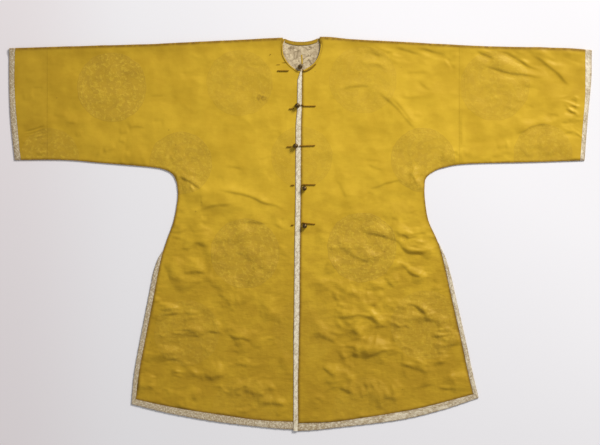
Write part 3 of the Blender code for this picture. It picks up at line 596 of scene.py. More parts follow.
def crush(x, y):
    """Crushed silk: mostly upright sine waves 20 to 95 mm long, bent by slower ones, each sharpened to
    1 - 2 * |sin|, and stronger from the waist down."""
    draw = np.random.default_rng(17)
    bend_x = 0.011 * np.sin(17 * x + 23 * y + 0.6) + 0.006 * np.sin(43 * x - 31 * y + 2.0)
    bend_y = 0.012 * np.sin(21 * x - 15 * y + 1.1) + 0.006 * np.sin(37 * x + 47 * y + 4.0)
    total = np.zeros_like(x)
    for length in np.geomspace(0.020, 0.095, 22):
        turn = math.radians(90 + 42 * draw.normal())
        run = math.cos(turn) * (x + bend_x) + math.sin(turn) * (y + bend_y)
        wave = np.sin(math.pi * run / length + draw.uniform(0, 6.28))
        patch = 0.5 + 0.5 * np.sin(9 * draw.normal() * x + 9 * draw.normal() * y + draw.uniform(0, 6.28))
        total += length ** 1.15 * patch * (1 - 2 * np.abs(wave))
    return CRUSH * total * (0.30 + 0.70 * fall(-0.12, 0.14, y))


def soft_floor(z, low):
    """z where it is well above low, and a smooth approach to low below it."""
    over = z - low
    return low + 0.5 * (over + np.sqrt(over ** 2 + (0.4 * MM) ** 2))


def lowest_near(z, reach):
    """The lowest value within a number of rows and columns of each point of a grid."""
    for axis in (0, 1):
        size = z.shape[axis]
        wide = np.pad(z, [(reach, reach) if k == axis else (0, 0) for k in (0, 1)], mode="edge")
        z = np.min([np.take(wide, range(k, k + size), axis=axis) for k in range(2 * reach + 1)], axis=0)
    return z


def wear_and_shade_near(free):
    """1 on an edge, fading within a few millimetres: the mark of edge wear and painted shade."""
    return np.exp(-(free / WEAR_AND_SHADE_REACH) ** 2)


def front_levels(half, grid, free_lines, seam_lines, top_line):
    """Top height of a front: base, relief that fades at the edges, rolled edges, dipped seams, and the
    rise to the shoulder fold. Also gives the lift over what lies under it, and the mark of edge wear and
    painted shade."""
    x, y = grid[..., 0], grid[..., 1]
    free = distance_to(grid, free_lines)
    seam = distance_to(grid, seam_lines)
    top = distance_to(grid, [top_line])
    level = neck_lift(x, y) + overlap_lift(half, x)
    across = (0.80 + 0.20 * rise(0.0, 0.012, seam)) * (0.45 + 0.55 * rise(0.0, 0.016, top))
    broad = rise(CALM_NEAR, CALM_FAR, np.abs(x)) * rise(0.0, 0.030, free) * across
    fine = (0.10 + 0.90 * rise(0.022, 0.065, np.abs(x))) * rise(-0.001, 0.008, free) * across
    relief = broad * (0.7 * PILLOW + 0.95 * fold_height(x, y))
    waist_down = fall(-0.10, 0.15, y)
    creased = (1.6 + 0.9 * waist_down) * crease_height(x, y) + (1.5 + 0.5 * waist_down) * pucker_height(x, y)
    creased += (1.6 + 2.8 * waist_down) * swell(x, y) + (0.8 + 0.5 * waist_down) * crush(x, y)
    relief += bpy.context.scene.robe.crease_share * fine * creased
    edge = 0.7 * MM * np.exp(-(free / (2.2 * MM)) ** 2) + 0.05 * MM * np.exp(-(seam / (2.4 * MM)) ** 2)
    to_fold = FOLD_LIFT * np.exp(-(top / (16 * MM)) ** 2)
    z = soft_floor(FRONT_TOP + relief + to_fold - edge, LOWEST_TOP) + level
    # Edge wear and painted shade: a dark mark along the free edges and the shoulder fold, faint at seams
    wear = np.maximum(wear_and_shade_near(free), wear_and_shade_near(top))
    return z, level, np.maximum(wear, 0.03 * wear_and_shade_near(seam))


class Shell:
    """Points, faces and marks of one closed piece, from grids that share points."""

    def __init__(self, tone=0.0):
        self.tone = tone
        self.marks = {"place": [], "wear": [], "on_back": [], "across": []}
        self.faces = []
        self.count = 0

    def add(self, x, y, z, wear=0.0, on_back=0.0, across=None):
        """Add a grid of points and give back their indices."""
        x, y, z, wear, on_back = np.broadcast_arrays(x, y, z, wear, on_back)
        flat = np.zeros(x.shape + (2,)) if across is None else across
        self.marks["place"].append(np.stack((x, y, z), axis=-1).reshape(-1, 3))
        self.marks["wear"].append(wear.ravel())
        self.marks["on_back"].append(on_back.ravel())
        self.marks["across"].append(flat.reshape(-1, 2))
        index = np.arange(self.count, self.count + x.size).reshape(x.shape)
        self.count += x.size
        return index

    def lay(self, grid, z, **marks):
        """Add a grid of (x, y) at a height."""
        return self.add(grid[..., 0], grid[..., 1], z, **marks)

    def quads(self, index):
        """Join a grid of indices by quads."""
        corners = (index[:-1, :-1], index[:-1, 1:], index[1:, 1:], index[1:, :-1])
        self.faces.append(np.column_stack([c.ravel() for c in corners]))

    def join(self, fine, coarse):
        """Join a row of indices to one with as many steps or with a whole share of them."""
        ratio = (len(fine) - 1) // (len(coarse) - 1)
        rows = [fine[k:len(fine) - ratio + k:ratio] for k in range(ratio)] + [fine[ratio::ratio]]
        self.faces.append(np.column_stack(rows + [coarse[1:], coarse[:-1]]))

    def close(self, pairs, *rims):
        """Join some rims of outer grids to the same rims of their inner grids."""
        for outer, inner in pairs:
            for rim in rims:
                self.join(outer[rim], inner[rim])

    def mesh(self, name):
        """The mesh, its faces outwards and its edges sharp where they turn by over 50 degrees."""
        used = np.unique(np.concatenate([group.ravel() for group in self.faces]))
        place = np.zeros(self.count, dtype=np.int64)
        place[used] = np.arange(len(used))
        points, wear, on_back, across = (np.concatenate(kept)[used] for kept in self.marks.values())
        faces = [face for group in self.faces for face in place[group].tolist()]
        mesh = bpy.data.meshes.new(name)
        mesh.from_pydata(points.tolist(), [], faces)
        shape = bmesh.new()
        shape.from_mesh(mesh)
        bmesh.ops.recalc_face_normals(shape, faces=shape.faces[:])
        shape.to_mesh(mesh)
        shape.free()
        mesh.shade_smooth()
        mesh.set_sharp_from_angle(angle=math.radians(50))
        store(mesh, "wear", "FLOAT", "value", wear)
        store(mesh, "tone", "FLOAT", "value", np.full(len(points), self.tone))
        store(mesh, "roundel", "FLOAT_VECTOR", "vector", roundel_marks(points, on_back))
        store_uv(mesh, across)
        return mesh


def store(mesh, name, kind, field, values):
    """Keep a value for every point as a named attribute."""
    layer = mesh.attributes.new(name, kind, "POINT")
    layer.data.foreach_set(field, np.ascontiguousarray(values, dtype=np.float32).ravel())


def store_uv(mesh, values):
    """Keep (across, along) in metres for every point as the UV map."""
    corner = np.empty(len(mesh.loops), dtype=np.int32)
    mesh.loops.foreach_get("vertex_index", corner)
    layer = mesh.uv_layers.new(name="cloth")
    layer.data.foreach_set("uv", values[corner].astype(np.float32).ravel())


def roundel_marks(points, on_back):
    """(u, v) from the nearest roundel's centre in its radii, and its strength, which ends at 1.25."""
    x, y = points[:, 0], points[:, 1]
    centre_x, centre_y, radius, strength = np.array(ROUNDELS).T[:, :, None]
    u = (x - centre_x * MM) / (radius * MM)
    v = (y - centre_y * MM) / (radius * MM)
    nearest = np.argmin(np.hypot(u, v), axis=0)
    u, v = u[nearest, np.arange(len(x))], v[nearest, np.arange(len(x))]
    strength = strength[nearest, 0]
    row = np.round(y / ROUNDEL_ROW)
    shift = np.where(row % 2 == 0, 0.0, 0.5 * ROUNDEL_ACROSS)
    column = np.round((x - shift) / ROUNDEL_ACROSS)
    back_u = (x - shift - column * ROUNDEL_ACROSS) / ROUNDEL_RADIUS
    back_v = (y - row * ROUNDEL_ROW) / ROUNDEL_RADIUS
    behind = on_back > 0.5
    u = np.where(behind, back_u, u)
    v = np.where(behind, back_v, v)
    strength = np.where(behind, 0.8, strength) * fall(1.12, 1.25, np.hypot(u, v))
    return np.column_stack((u, v, strength))


def fractions_along(length, spacing, near, far):
    """Shares of a length, with extra steps at the flagged ends; their number divides by COARSE."""
    added = len(EDGE_STEPS) * (near + far)
    whole = max(COARSE * max(1, round(length / spacing / COARSE)), COARSE * math.ceil((added + 1) / COARSE))
    close = np.array(EDGE_STEPS) / length
    start = close[-1] if near else 0.0
    end = 1 - close[-1] if far else 1.0
    even = np.linspace(start, end, whole - added + 1)
    before = np.concatenate(([0.0], close[:-1])) if near else np.zeros(0)
    after = np.concatenate((1 - close[:-1][::-1], [1.0])) if far else np.zeros(0)
    return np.concatenate((before, even, after))


def fold_reach():
    """How far the shoulder fold's outside stands beyond its centre."""
    return (FRONT_TOP + FOLD_LIFT) / 2


def body_layout(half, spacing):
    """Shares of the sleeve part, the body's columns and its corner column, and the rows."""
    seam = half.seam_out - GAP / 2
    armpit = half.side[0][0] * MM
    even = fractions_along(seam - armpit, spacing, True, False)
    sleeve = 1 - (1 - even) ** ARMPIT_BUNCHING
    body = fractions_along(armpit, spacing, True, True)
    corner = COARSE * round(NECK_CORNER_SHARE * (len(body) - 1) / COARSE)
    upper = fractions_along(UPPER_HEIGHT, spacing, True, True)
    lower = fractions_along(LOWER_HEIGHT, spacing, False, True)
    return sleeve, body, corner, upper, lower


def ruled(top, bottom, rows):
    """Grid of points on the straight lines from a top row to a bottom row."""
    return top[None] + (bottom - top)[None] * rows[:, None, None]


def upper_block(half, neck_stations, centre_out, sleeve, body, corner, rows):
    """(out, up) grid from the shoulder fold to the armpit's level, sleeve seam to centre."""
    shoulder = smooth_curve(half.shoulder)
    under = smooth_curve(half.under_sleeve)
    neck = smooth_curve(neck_stations)
    seam = half.seam_out - GAP / 2
    armpit = half.side[0][0] * MM
    inner = under[under[:, 0] < seam]
    inner = np.vstack(([seam, up_at(under, seam)], inner))
    bottom = at_fractions(inner, sleeve)
    top_out = seam + (armpit - seam) * sleeve
    last = body[corner]
    shoulder_out = armpit + (half.shoulder[0][0] * MM - armpit) * body[1:corner + 1] / last
    folded_out = np.concatenate((top_out, shoulder_out))
    folded_top = np.column_stack((folded_out, up_at(shoulder, folded_out) - fold_reach()))
    first = fold_reach() / curve_length(neck)
    neck_top = at_fractions(neck, first + (1 - first) * (body[corner + 1:] - last) / (1 - last))
    centre = float(centre_out(half, ARMPIT_UP))
    cut = np.column_stack((armpit + (centre - armpit) * body[1:], np.full(len(body) - 1, ARMPIT_UP)))
    grid = ruled(np.vstack((folded_top, neck_top)), np.vstack((bottom, cut)), rows)
    weight = np.concatenate((np.zeros(len(sleeve)), body[1:])) ** 4
    grid[..., 0] += weight * (centre_out(half, grid[:, -1, 1]) - grid[:, -1, 0])[:, None]
    return grid


def lower_block(half, hem_stations, centre_out, body, rows):
    """(out, up) grid from the armpit's level to the hem, side seam to centre."""
    side = smooth_curve(half.side)
    armpit = half.side[0][0] * MM
    centre = float(centre_out(half, ARMPIT_UP))
    top = np.column_stack((armpit + (centre - armpit) * body, np.full(len(body), ARMPIT_UP)))
    grid = ruled(top, at_fractions(smooth_curve(hem_stations), body), rows)
    side_shift = out_at(side, grid[:, 0, 1]) - grid[:, 0, 0]
    centre_shift = centre_out(half, grid[:, -1, 1]) - grid[:, -1, 0]
    grid[..., 0] += (1 - body) ** 2 * side_shift[:, None] + body ** 4 * centre_shift[:, None]
    return grid


def add_fold(shell, edge, z, inside_z, u):
    """Half circles round the shoulder fold, their radius half the top's height, and one row inside it."""
    x, y = edge.T
    turn = np.linspace(0.0, math.pi, FOLD_ROWS + 1)[1:, None]
    radius = z / 2
    # The whole fold carries the full edge mark: soil and painted shade
    outer = shell.add(x, y + radius * np.sin(turn), radius + radius * np.cos(turn), wear=1.0,
                      across=joined(u, y + radius * turn))
    low = BACK_TOP - GAP
    inner = shell.add(x[::COARSE], y[::COARSE] + (inside_z - low) / 2, (inside_z + low) / 2)
    return outer, inner


def inside_levels(z, level):
    """Heights of the inside at every fourth row and column: below the lowest outside nearby."""
    return np.maximum(lowest_near(z, COARSE) - 0.9 * MM, LOWEST_INSIDE + level)[::COARSE, ::COARSE]


def close_fold(shell, front, turn, back, front_in, turn_in, back_in):
    """Faces of the fold between front and back, outside and inside, and its rims at both ends."""
    shell.quads(np.vstack((front[:1], turn)))
    shell.join(turn[-1], back[1])
    shell.quads(np.vstack((front_in[:1], turn_in[None], back_in[:1])))
    for column, coarse_column in ((0, 0), (-1, -1)):
        outer = np.concatenate((front[:1, column], turn[:, column]))
        inner = np.array((front_in[0, coarse_column], turn_in[coarse_column], back_in[0, coarse_column]))
        shell.join(outer, inner)


def body_shell(half, spacing):
    """One loom width: a creased front, the fold over the shoulder and a smooth back, closed."""
    sleeve, body, corner, upper_rows, lower_rows = body_layout(half, spacing)
    split = len(sleeve) - 1
    folded = len(sleeve) + corner
    few = split // COARSE
    few_folded = (folded - 1) // COARSE + 1
    upper = upper_block(half, half.neckline, front_centre_out, sleeve, body, corner, upper_rows) * flip(half)
    lower = lower_block(half, half.hem_in, front_centre_out, body, lower_rows) * flip(half)
    free_lines = [
        upper[-1, :split + 1:COARSE], lower[::COARSE, 0], lower[-1, ::COARSE], lower[::COARSE, -1],
        upper[::COARSE, -1], upper[0, folded - 1:],
    ]
    seam_lines = [upper[::COARSE, 0]]
    top_line = upper[0, :folded:COARSE]
    lines = (free_lines, seam_lines, top_line)
    z, level, wear = front_levels(half, upper, *lines)
    low_z, low_level, low_wear = front_levels(half, lower, *lines)
    panel = np.vstack((z[:, split:], low_z[1:]))
    panel_level = np.vstack((level[:, split:], low_level[1:]))
    panel_in = inside_levels(panel, panel_level)
    z_in = inside_levels(z, level)
    rows_in = z_in.shape[0]
    z_in[:, few:] = np.minimum(z_in[:, few:], panel_in[:rows_in])

    shell = Shell()
    front = shell.lay(upper, z, wear=wear, across=upper)
    front_in = shell.lay(upper[::COARSE, ::COARSE], z_in)
    low = shell.lay(lower[1:], low_z[1:], wear=low_wear[1:], across=lower[1:])
    low = np.vstack((front[-1:, split:], low))
    low_in = shell.lay(lower[COARSE::COARSE, ::COARSE], panel_in[rows_in:])
    low_in = np.vstack((front_in[-1:, few:], low_in))
    turn, turn_in = add_fold(shell, upper[0, :folded], z[0, :folded], z_in[0, :few_folded],
                             upper[0, :folded, 0])

    hem = half.hem_in[:-1] + (BACK_HEM_IN_CENTRE,)
    back = upper_block(half, half.back_neck, back_centre_out, sleeve[::COARSE], body[::COARSE],
                       corner // COARSE, shares(BACK_UPPER_ROWS)) * flip(half)
    back_low = lower_block(half, hem, back_centre_out, body[::COARSE],
                           shares(BACK_LOWER_ROWS)) * flip(half)
    back_lines = [back[-1, :few + 1], back_low[:, 0], back_low[-1], back_low[:, -1], back[:, -1],
                  back[0, few_folded - 1:]]
    outside, inside = [], []
    for block in (back, back_low[1:]):
        # Edge wear and painted shade along the back's edges
        worn = wear_and_shade_near(distance_to(block, back_lines))
        outside.append(shell.lay(block, 0.0, wear=worn, on_back=1.0, across=block))
        inside.append(shell.lay(block, BACK_TOP - GAP, on_back=1.0))
    back_out, back_in = outside[0], inside[0]
    back_out[0, :few_folded] = turn[-1, ::COARSE]
    back_low_out = np.vstack((back_out[-1:, few:], outside[1]))
    back_low_in = np.vstack((back_in[-1:, few:], inside[1]))

    close_fold(shell, front[:, :folded], turn, back_out[:, :few_folded], front_in[:, :few_folded], turn_in,
               back_in[:, :few_folded])
    shell.quads(back_out[:2, few_folded - 1:])
    for grid in (front, low, front_in, low_in, back_out[1:], back_in, back_low_out, back_low_in):
        shell.quads(grid)
    shell.join(front[0, folded - 1:], front_in[0, few_folded - 1:])
    shell.join(back_out[0, few_folded - 1:], back_in[0, few_folded - 1:])
    shell.join(front[-1, :split + 1], front_in[-1, :few + 1])
    shell.join(back_out[-1, :few + 1], back_in[-1, :few + 1])
    shell.close(((front, front_in), (back_out, back_in)), FIRST_COLUMN, LAST_COLUMN)
    shell.close(((low, low_in), (back_low_out, back_low_in)), FIRST_COLUMN, LAST_COLUMN, LAST_ROW)
    return shell


def sleeve_block(half, out_from, out_to, rows, columns):
    """(out, up) grid of a sleeve stretch; out_from and out_to give out at each height."""
    shoulder = smooth_curve(half.shoulder)
    under = smooth_curve(half.under_sleeve)
    top_up = half.shoulder[-1][1] * MM
    low_up = half.under_sleeve[0][1] * MM

    def out_for(up):
        return out_from(up) + (out_to(up) - out_from(up)) * columns

    top = up_at(shoulder, out_for(top_up)) - fold_reach()
    up = between(top, up_at(under, out_for(low_up)), rows[:, None])
    return np.stack((out_for(up), up), axis=-1)


def sleeve_shell(half, out_from, out_to, free_far):
    """A folded sleeve stretch: its creased front, the fold over the top and its smooth back, closed.
    free_far is true where the far end is the cuff's edge."""
    spacing = bpy.context.scene.robe.sleeve_spacing
    heights = np.linspace(0.22, 0.52, 9)
    width = float(np.mean(out_to(heights) - out_from(heights)))
    columns = fractions_along(width, spacing, True, True)
    rows = fractions_along(SLEEVE_HEIGHT, spacing, False, True)
    grid = sleeve_block(half, out_from, out_to, rows, columns) * flip(half)
    seam_lines = [grid[::COARSE, 0]] + ([] if free_far else [grid[::COARSE, -1]])
    free_lines = [grid[-1, ::COARSE]] + ([grid[::COARSE, -1]] if free_far else [])
    z, level, wear = front_levels(half, grid, free_lines, seam_lines, grid[0, ::COARSE])
    z_in = inside_levels(z, level)
    shell = Shell(tone=1.0 if half.sign < 0 else 0.0)
    front = shell.lay(grid, z, wear=wear, across=joined(columns[None] * width, grid[..., 1]))
    front_in = shell.lay(grid[::COARSE, ::COARSE], z_in)
    turn, turn_in = add_fold(shell, grid[0], z[0], z_in[0], columns * width)
    back = sleeve_block(half, out_from, out_to, shares(BACK_UPPER_ROWS),
                        columns[::COARSE]) * flip(half)
    # Edge wear and painted shade along the back's edges
    worn = wear_and_shade_near(distance_to(back, [back[-1], back[:, -1]]))
    back_out = shell.lay(back, 0.0, wear=worn, on_back=1.0,
                         across=joined(columns[None, ::COARSE] * width, back[..., 1]))
    back_in = shell.lay(back, BACK_TOP - GAP, on_back=1.0)
    back_out[0] = turn[-1, ::COARSE]
    close_fold(shell, front, turn, back_out, front_in, turn_in, back_in)
    for piece in (front, front_in, back_out[1:], back_in):
        shell.quads(piece)
    shell.close(((front, front_in), (back_out, back_in)), FIRST_COLUMN, LAST_COLUMN, LAST_ROW)
    return shell


def ring_shell(rings, across=None, wear=0.0):
    """A closed skin over rings of points (ring, point, xyz), with a face on each end."""
    shell = Shell()
    index = shell.lay(rings, rings[..., 2], across=across, wear=wear)
    shell.quads(np.hstack((index, index[:, :1])))
    shell.faces.append(index[:1])
    shell.faces.append(index[-1:])
    return shell


def edge_wobble(length, seed, size):
    """A hand-sewn edge's small wander along its length: sine waves 8 to 30 mm long."""
    draw = np.random.default_rng(seed)
    total = np.zeros_like(length)
    for run in (0.008, 0.013, 0.021, 0.030):
        total += np.sin(2 * math.pi * length / run + draw.uniform(0, 6.28)) * draw.uniform(0.4, 1.0)
    return size * total / 2.5


def band_shell(inner, outer, base, wall, seed, wander=0.6 * MM):
    """A flat band between two rows of (x, y) points: its top is base + wall * (1 - 0.35 * |2s - 1|^6)
    across it with a sewn ripple, and its outer edge wanders."""
    run = length_along((inner + outer) / 2)
    width = np.linalg.norm(outer - inner, axis=1)
    fade = rise(0.0, 0.01, run) * fall(run[-1] - 0.01, run[-1], run)
    shift = edge_wobble(run, seed, wander) * fade / width
    share = np.array((0.0, 0.03, 0.10, 0.22, 0.36, 0.5, 0.64, 0.78, 0.90, 0.97, 1.0, 1.0, 0.0))
    top = np.array((1.0,) * 11 + (0.0, 0.0))
    s = share[None] * (1 + shift[:, None])
    points = inner[:, None] + (outer - inner)[:, None] * s[..., None]
    ripple = edge_wobble(run, seed + 1, 0.16 * MM)[:, None] * np.sin(math.pi * share)[None]
    crown = wall * (1 - 0.35 * np.abs(2 * share - 1) ** 6)[None] + ripple
    z = np.reshape(base, (-1, 1)) + top[None] * crown
    rings = np.concatenate((points, z[..., None]), axis=-1)
    across = joined(s * width[:, None], run[:, None])
    # Edge mark on both edges of the band: rubbing and painted shade
    wear = np.clip(1.6 * np.abs(2 * share - 1) ** 8, 0, 1)
    return ring_shell(rings, across, np.broadcast_to(wear[None], s.shape))


def push_out(points, distance):
    """Points moved to the left of their run by a distance, or to the right where it is negative."""
    return points + np.reshape(distance, (-1, 1)) * to_left(unit(np.gradient(points, axis=0)))


def mitre_ends(corner, outer_corner, way):
    """Ends of a border's two edges at a mitre, half a gap above it (way 1) or below it (way -1)."""
    mitre = (outer_corner - corner) / np.linalg.norm(outer_corner - corner)
    lift = np.array((-mitre[1], mitre[0])) * GAP / 2
    lift = lift * way * np.sign(lift[1])
    return corner + mitre * GAP + lift, outer_corner + lift


def vent_edges(half):
    """(x, y) of a vent border's inner and outer edge, from the vent's top to the mitre."""
    rows = shares(241)
    edge = lower_block(half, half.hem_in, front_centre_out, shares(13), rows)[:, 0]
    widths = np.array(half.vent_width) * MM
    top = widths[0, 0]
    inner = np.vstack(((out_at(edge, top), top), edge[edge[:, 1] < top - VENT_FIRST_STEP]))
    width = np.interp(-inner[:, 1], -widths[:, 0], widths[:, 1])
    outer = push_out(inner, width)
    corner = inner[-1]
    outer_corner = np.array(half.hem_out[0]) * MM
    share = shares(len(inner))[:, None] ** 6
    outer = outer + share * (outer_corner - outer[-1])
    inner = push_out(inner, GAP)
    inner[-1], outer[-1] = mitre_ends(corner, outer_corner, 1)
    return inner * flip(half), outer * flip(half)


def hem_edges(half, inner_stations, outer_stations, count):
    """A half's hem strip from its mitre to the centre: (x, y) of the inner and outer edge."""
    fractions = shares(count)
    inner = push_out(at_fractions(smooth_curve(inner_stations), fractions), GAP)
    outer = at_fractions(smooth_curve(outer_stations), fractions)
    inner[0], outer[0] = mitre_ends(np.array(inner_stations[0]) * MM, outer[0], -1)
    return inner * flip(half), outer * flip(half)


def front_hem_edges(half):
    """The front hem strip's edges, ended beside the front edge strip on the left."""
    inner, outer = hem_edges(half, half.hem_in, half.hem_out, 161)
    if half.sign > 0:
        inner[-1, 0] = outer[-1, 0] = strip_edges(outer[-1, 1])[1] + GAP
    return inner, outer


def back_hem_edges():
    """The back hem strip's edges, right across from mitre to mitre."""
    runs = [
        hem_edges(half, half.hem_in[:-1] + (BACK_HEM_IN_CENTRE,), half.hem_out[:-1] + (BACK_HEM_OUT_CENTRE,),
                  161)
        for half in HALVES
    ]
    return tuple(np.vstack((runs[0][k][:-1], runs[1][k][::-1])) for k in (0, 1))


def front_strip_edges():
    """The front edge strip's left and right edges and its underside's height, from neck to hem."""
    up = np.linspace(STRIP[0][0], STRIP[-1][0], 341) * MM
    left, right = strip_edges(up)
    base = FRONT_BASE + OVERLAP_LIFT + neck_lift((left + right) / 2, up)
    return np.column_stack((left, up)), np.column_stack((right, up)), base


def binding_edges(half):
    """The neck binding's edges on the front's neck edge, and its underside's height."""
    sleeve, body, corner, rows, _ = body_layout(half, 3 * MM)
    upper = upper_block(half, half.neckline, front_centre_out, sleeve, body, corner, rows)
    folded = len(sleeve) + corner
    edge = upper[0, folded:-1]
    toward = to_left(unit(np.gradient(edge, axis=0)))
    toward = toward * np.sign((toward * (np.array(PANEL_POINT) - edge)).sum(axis=1))[:, None]
    inner = edge + toward * GAP
    outer = edge + toward * (GAP + BINDING_WIDTH)
    x = half.sign * edge[:, 0]
    level = FRONT_TOP + GAP + neck_lift(x, edge[:, 1]) + overlap_lift(half, x)
    return inner * flip(half), outer * flip(half), level


def back_neck_arc(inset, count):
    """(x, y) points along the back neck, moved down by an inset."""
    right = smooth_curve(RIGHT.back_neck) * np.array((-1.0, 1.0))
    left = smooth_curve(LEFT.back_neck)[::-1]
    arc = at_fractions(np.vstack((right[:-1], left)), np.linspace(0.06, 0.94, count))
    return arc - np.array((0.0, inset))


def lining_shell():
    """The lining, ruled from the back neck's arc to a half ellipse under the fronts. Its top has wrinkles
    of at most 0.4 mm that fade towards its edge."""
    count = 57
    top_row = back_neck_arc(2 * GAP, count)
    angles = np.linspace(math.radians(170), math.radians(10), count)
    under = np.array(LINING_CENTRE) + np.column_stack((np.cos(angles), -np.sin(angles))) * LINING_RADII
    share = shares(49)[:, None]
    points = between(top_row, under, share[..., None])
    x, y = points[..., 0], points[..., 1]
    inside = rise(0.0, 0.12, share) * fall(0.85, 1.0, share)
    across = np.sin(math.pi * shares(count))[None] ** 0.5
    wrinkle = 0.5 + 0.25 * np.sin(210 * x + 60 * y + 2 * np.sin(70 * y)) + 0.25 * np.sin(95 * x - 240 * y)
    z = LINING_LEVEL + LINING_WALL - 0.40 * MM * inside * across * (1 - wrinkle)
    shell = Shell()
    top = shell.lay(points, z, across=points)
    low = shell.lay(points, LINING_LEVEL, across=points)
    shell.quads(top)
    shell.quads(low)
    shell.close(((top, low),), 0, LAST_ROW, FIRST_COLUMN, LAST_COLUMN)
    return shell


def twisted_cord_shell(points, radius, lay=0.0052):
    """A two-ply cord along a row of points: its radius is R * (0.74 + 0.26 * |cos(turn - twist)|), the
    twist grows by half a turn in each lay, and the ends close as half balls."""
    count = max(12, int(round(curve_length(points) / (0.9 * MM))))
    line = at_fractions(points, shares(count))
    run = unit(np.gradient(line, axis=0))
    side = unit(np.cross(run, UP))
    above = np.cross(side, run)
    length = curve_length(points)
    at = np.linspace(0.0, length, count)
    from_end = np.minimum(np.minimum(at, length - at) / radius, 1.0)
    close = np.sqrt(np.clip(1 - (1 - from_end) ** 2, 0.03, 1.0))
    turn = circle(16)
    twist = math.pi * at / lay
    ring = radius * close[:, None] * (0.74 + 0.26 * np.abs(np.cos(turn[None] - twist[:, None])))
    rings = line[:, None] + ring[..., None] * (
        np.cos(turn)[None, :, None] * side[:, None] + np.sin(turn)[None, :, None] * above[:, None])
    return ring_shell(rings, joined(turn[None] * radius, at[:, None]))


def merge_shells(shells):
    """One shell that holds several closed ones."""
    whole = Shell()
    for shell in shells:
        for name, kept in shell.marks.items():
            whole.marks[name] += kept
        whole.faces += [group + whole.count for group in shell.faces]
        whole.count += shell.count
    return whole


def torus_shell(centre, axis_a, axis_b, major, minor, around=28, section=12):
    """A closed ring: a circle of radius minor carried round one of radius major in two axes' plane."""
    t = circle(around)[:, None, None]
    p = circle(section)[None, :, None]
    out = np.cos(t) * axis_a + np.sin(t) * axis_b
    up = np.cross(axis_a, axis_b)
    points = centre + out * (major + minor * np.cos(p)) + up * (minor * np.sin(p))
    shell = Shell()
    index = shell.lay(points, points[..., 2])
    index = np.vstack((index, index[:1]))
    shell.quads(np.hstack((index, index[:, :1])))
    return shell


def ball_shell(centre, radius):
    """A cast ball with a groove round its middle and a boss on top: its radius is R * (1 - 0.035 *
    exp(-(latitude / 0.07)^2) + 0.03 * exp(-(colatitude / 0.25)^2))."""
    low = np.linspace(0.0, math.pi, 25)[1:-1]
    turn = circle(32)
    latitude = math.pi / 2 - low
    size = radius * (1 - 0.035 * np.exp(-(latitude / 0.07) ** 2) + 0.03 * np.exp(-(low / 0.25) ** 2))
    out = (size * np.sin(low))[:, None]
    shell = Shell()
    index = shell.add(centre[0] + out * np.cos(turn), centre[1] + out * np.sin(turn),
                      centre[2] + (size * np.cos(low))[:, None], across=joined(turn[None], low[:, None]))
    shell.quads(np.hstack((index, index[:, :1])))
    poles = shell.add(centre[0], centre[1], centre[2] + radius * np.array((1.03, -1.0)))
    for ring, pole in ((index[0], poles[0]), (index[-1], poles[1])):
        ring = np.append(ring, ring[0])
        shell.faces.append(np.column_stack((ring[:-1], ring[1:], np.full(len(ring) - 1, pole))))
    return shell


def stitch_shell(centres, runs, lengths, radius):
    """Short stitches on the cloth: each is a closed bead of four rings that arches up by its radius."""
    share = np.array((-1.0, -0.45, 0.45, 1.0))
    fat = np.array((0.35, 1.0, 1.0, 0.35))
    turn = circle(5)
    runs = unit(runs)
    side = np.column_stack((to_left(runs), np.zeros(len(runs))))
    along = np.column_stack((runs, np.zeros(len(runs))))
    arch = radius * (1 - share ** 2)
    spine = centres[:, None] + 0.5 * lengths[:, None, None] * share[None, :, None] * along[:, None]
    spine[..., 2] += arch[None]
    ring = radius * fat[None, :, None, None] * (
        np.cos(turn)[None, None, :, None] * side[:, None, None]
        + np.sin(turn)[None, None, :, None] * UP)
    points = spine[:, :, None] + ring
    shell = Shell()
    index = shell.lay(points, points[..., 2])
    closed = np.concatenate((index, index[:, :, :1]), axis=2)
    corners = (closed[:, :-1, :-1], closed[:, :-1, 1:], closed[:, 1:, 1:], closed[:, 1:, :-1])
    shell.faces.append(np.column_stack([c.ravel() for c in corners]))
    shell.faces.append(index[:, 0])
    shell.faces.append(index[:, -1])
    return shell


def cord_route(route, level):
    """Points along a cord's route in mm at a constant height."""
    flat = smooth_curve(route)
    return np.column_stack((flat, np.full(len(flat), level)))


NUMBER = "NodeSocketFloat"
COLOUR = "NodeSocketColor"
VECTOR = "NodeSocketVector"


def adds_node(operation):
    """The method behind a sign between values: it adds a maths node."""
    return lambda value, *others: value.graph.math(operation, value, *others)


class Value:
    """What one socket gives in a graph. Arithmetic on values adds maths nodes."""

    __add__ = adds_node("ADD")
    __sub__ = adds_node("SUBTRACT")
    __mul__ = adds_node("MULTIPLY")
    __truediv__ = adds_node("DIVIDE")
    __abs__ = adds_node("ABSOLUTE")

    def __init__(self, graph, socket):
        self.graph = graph
        self.socket = socket


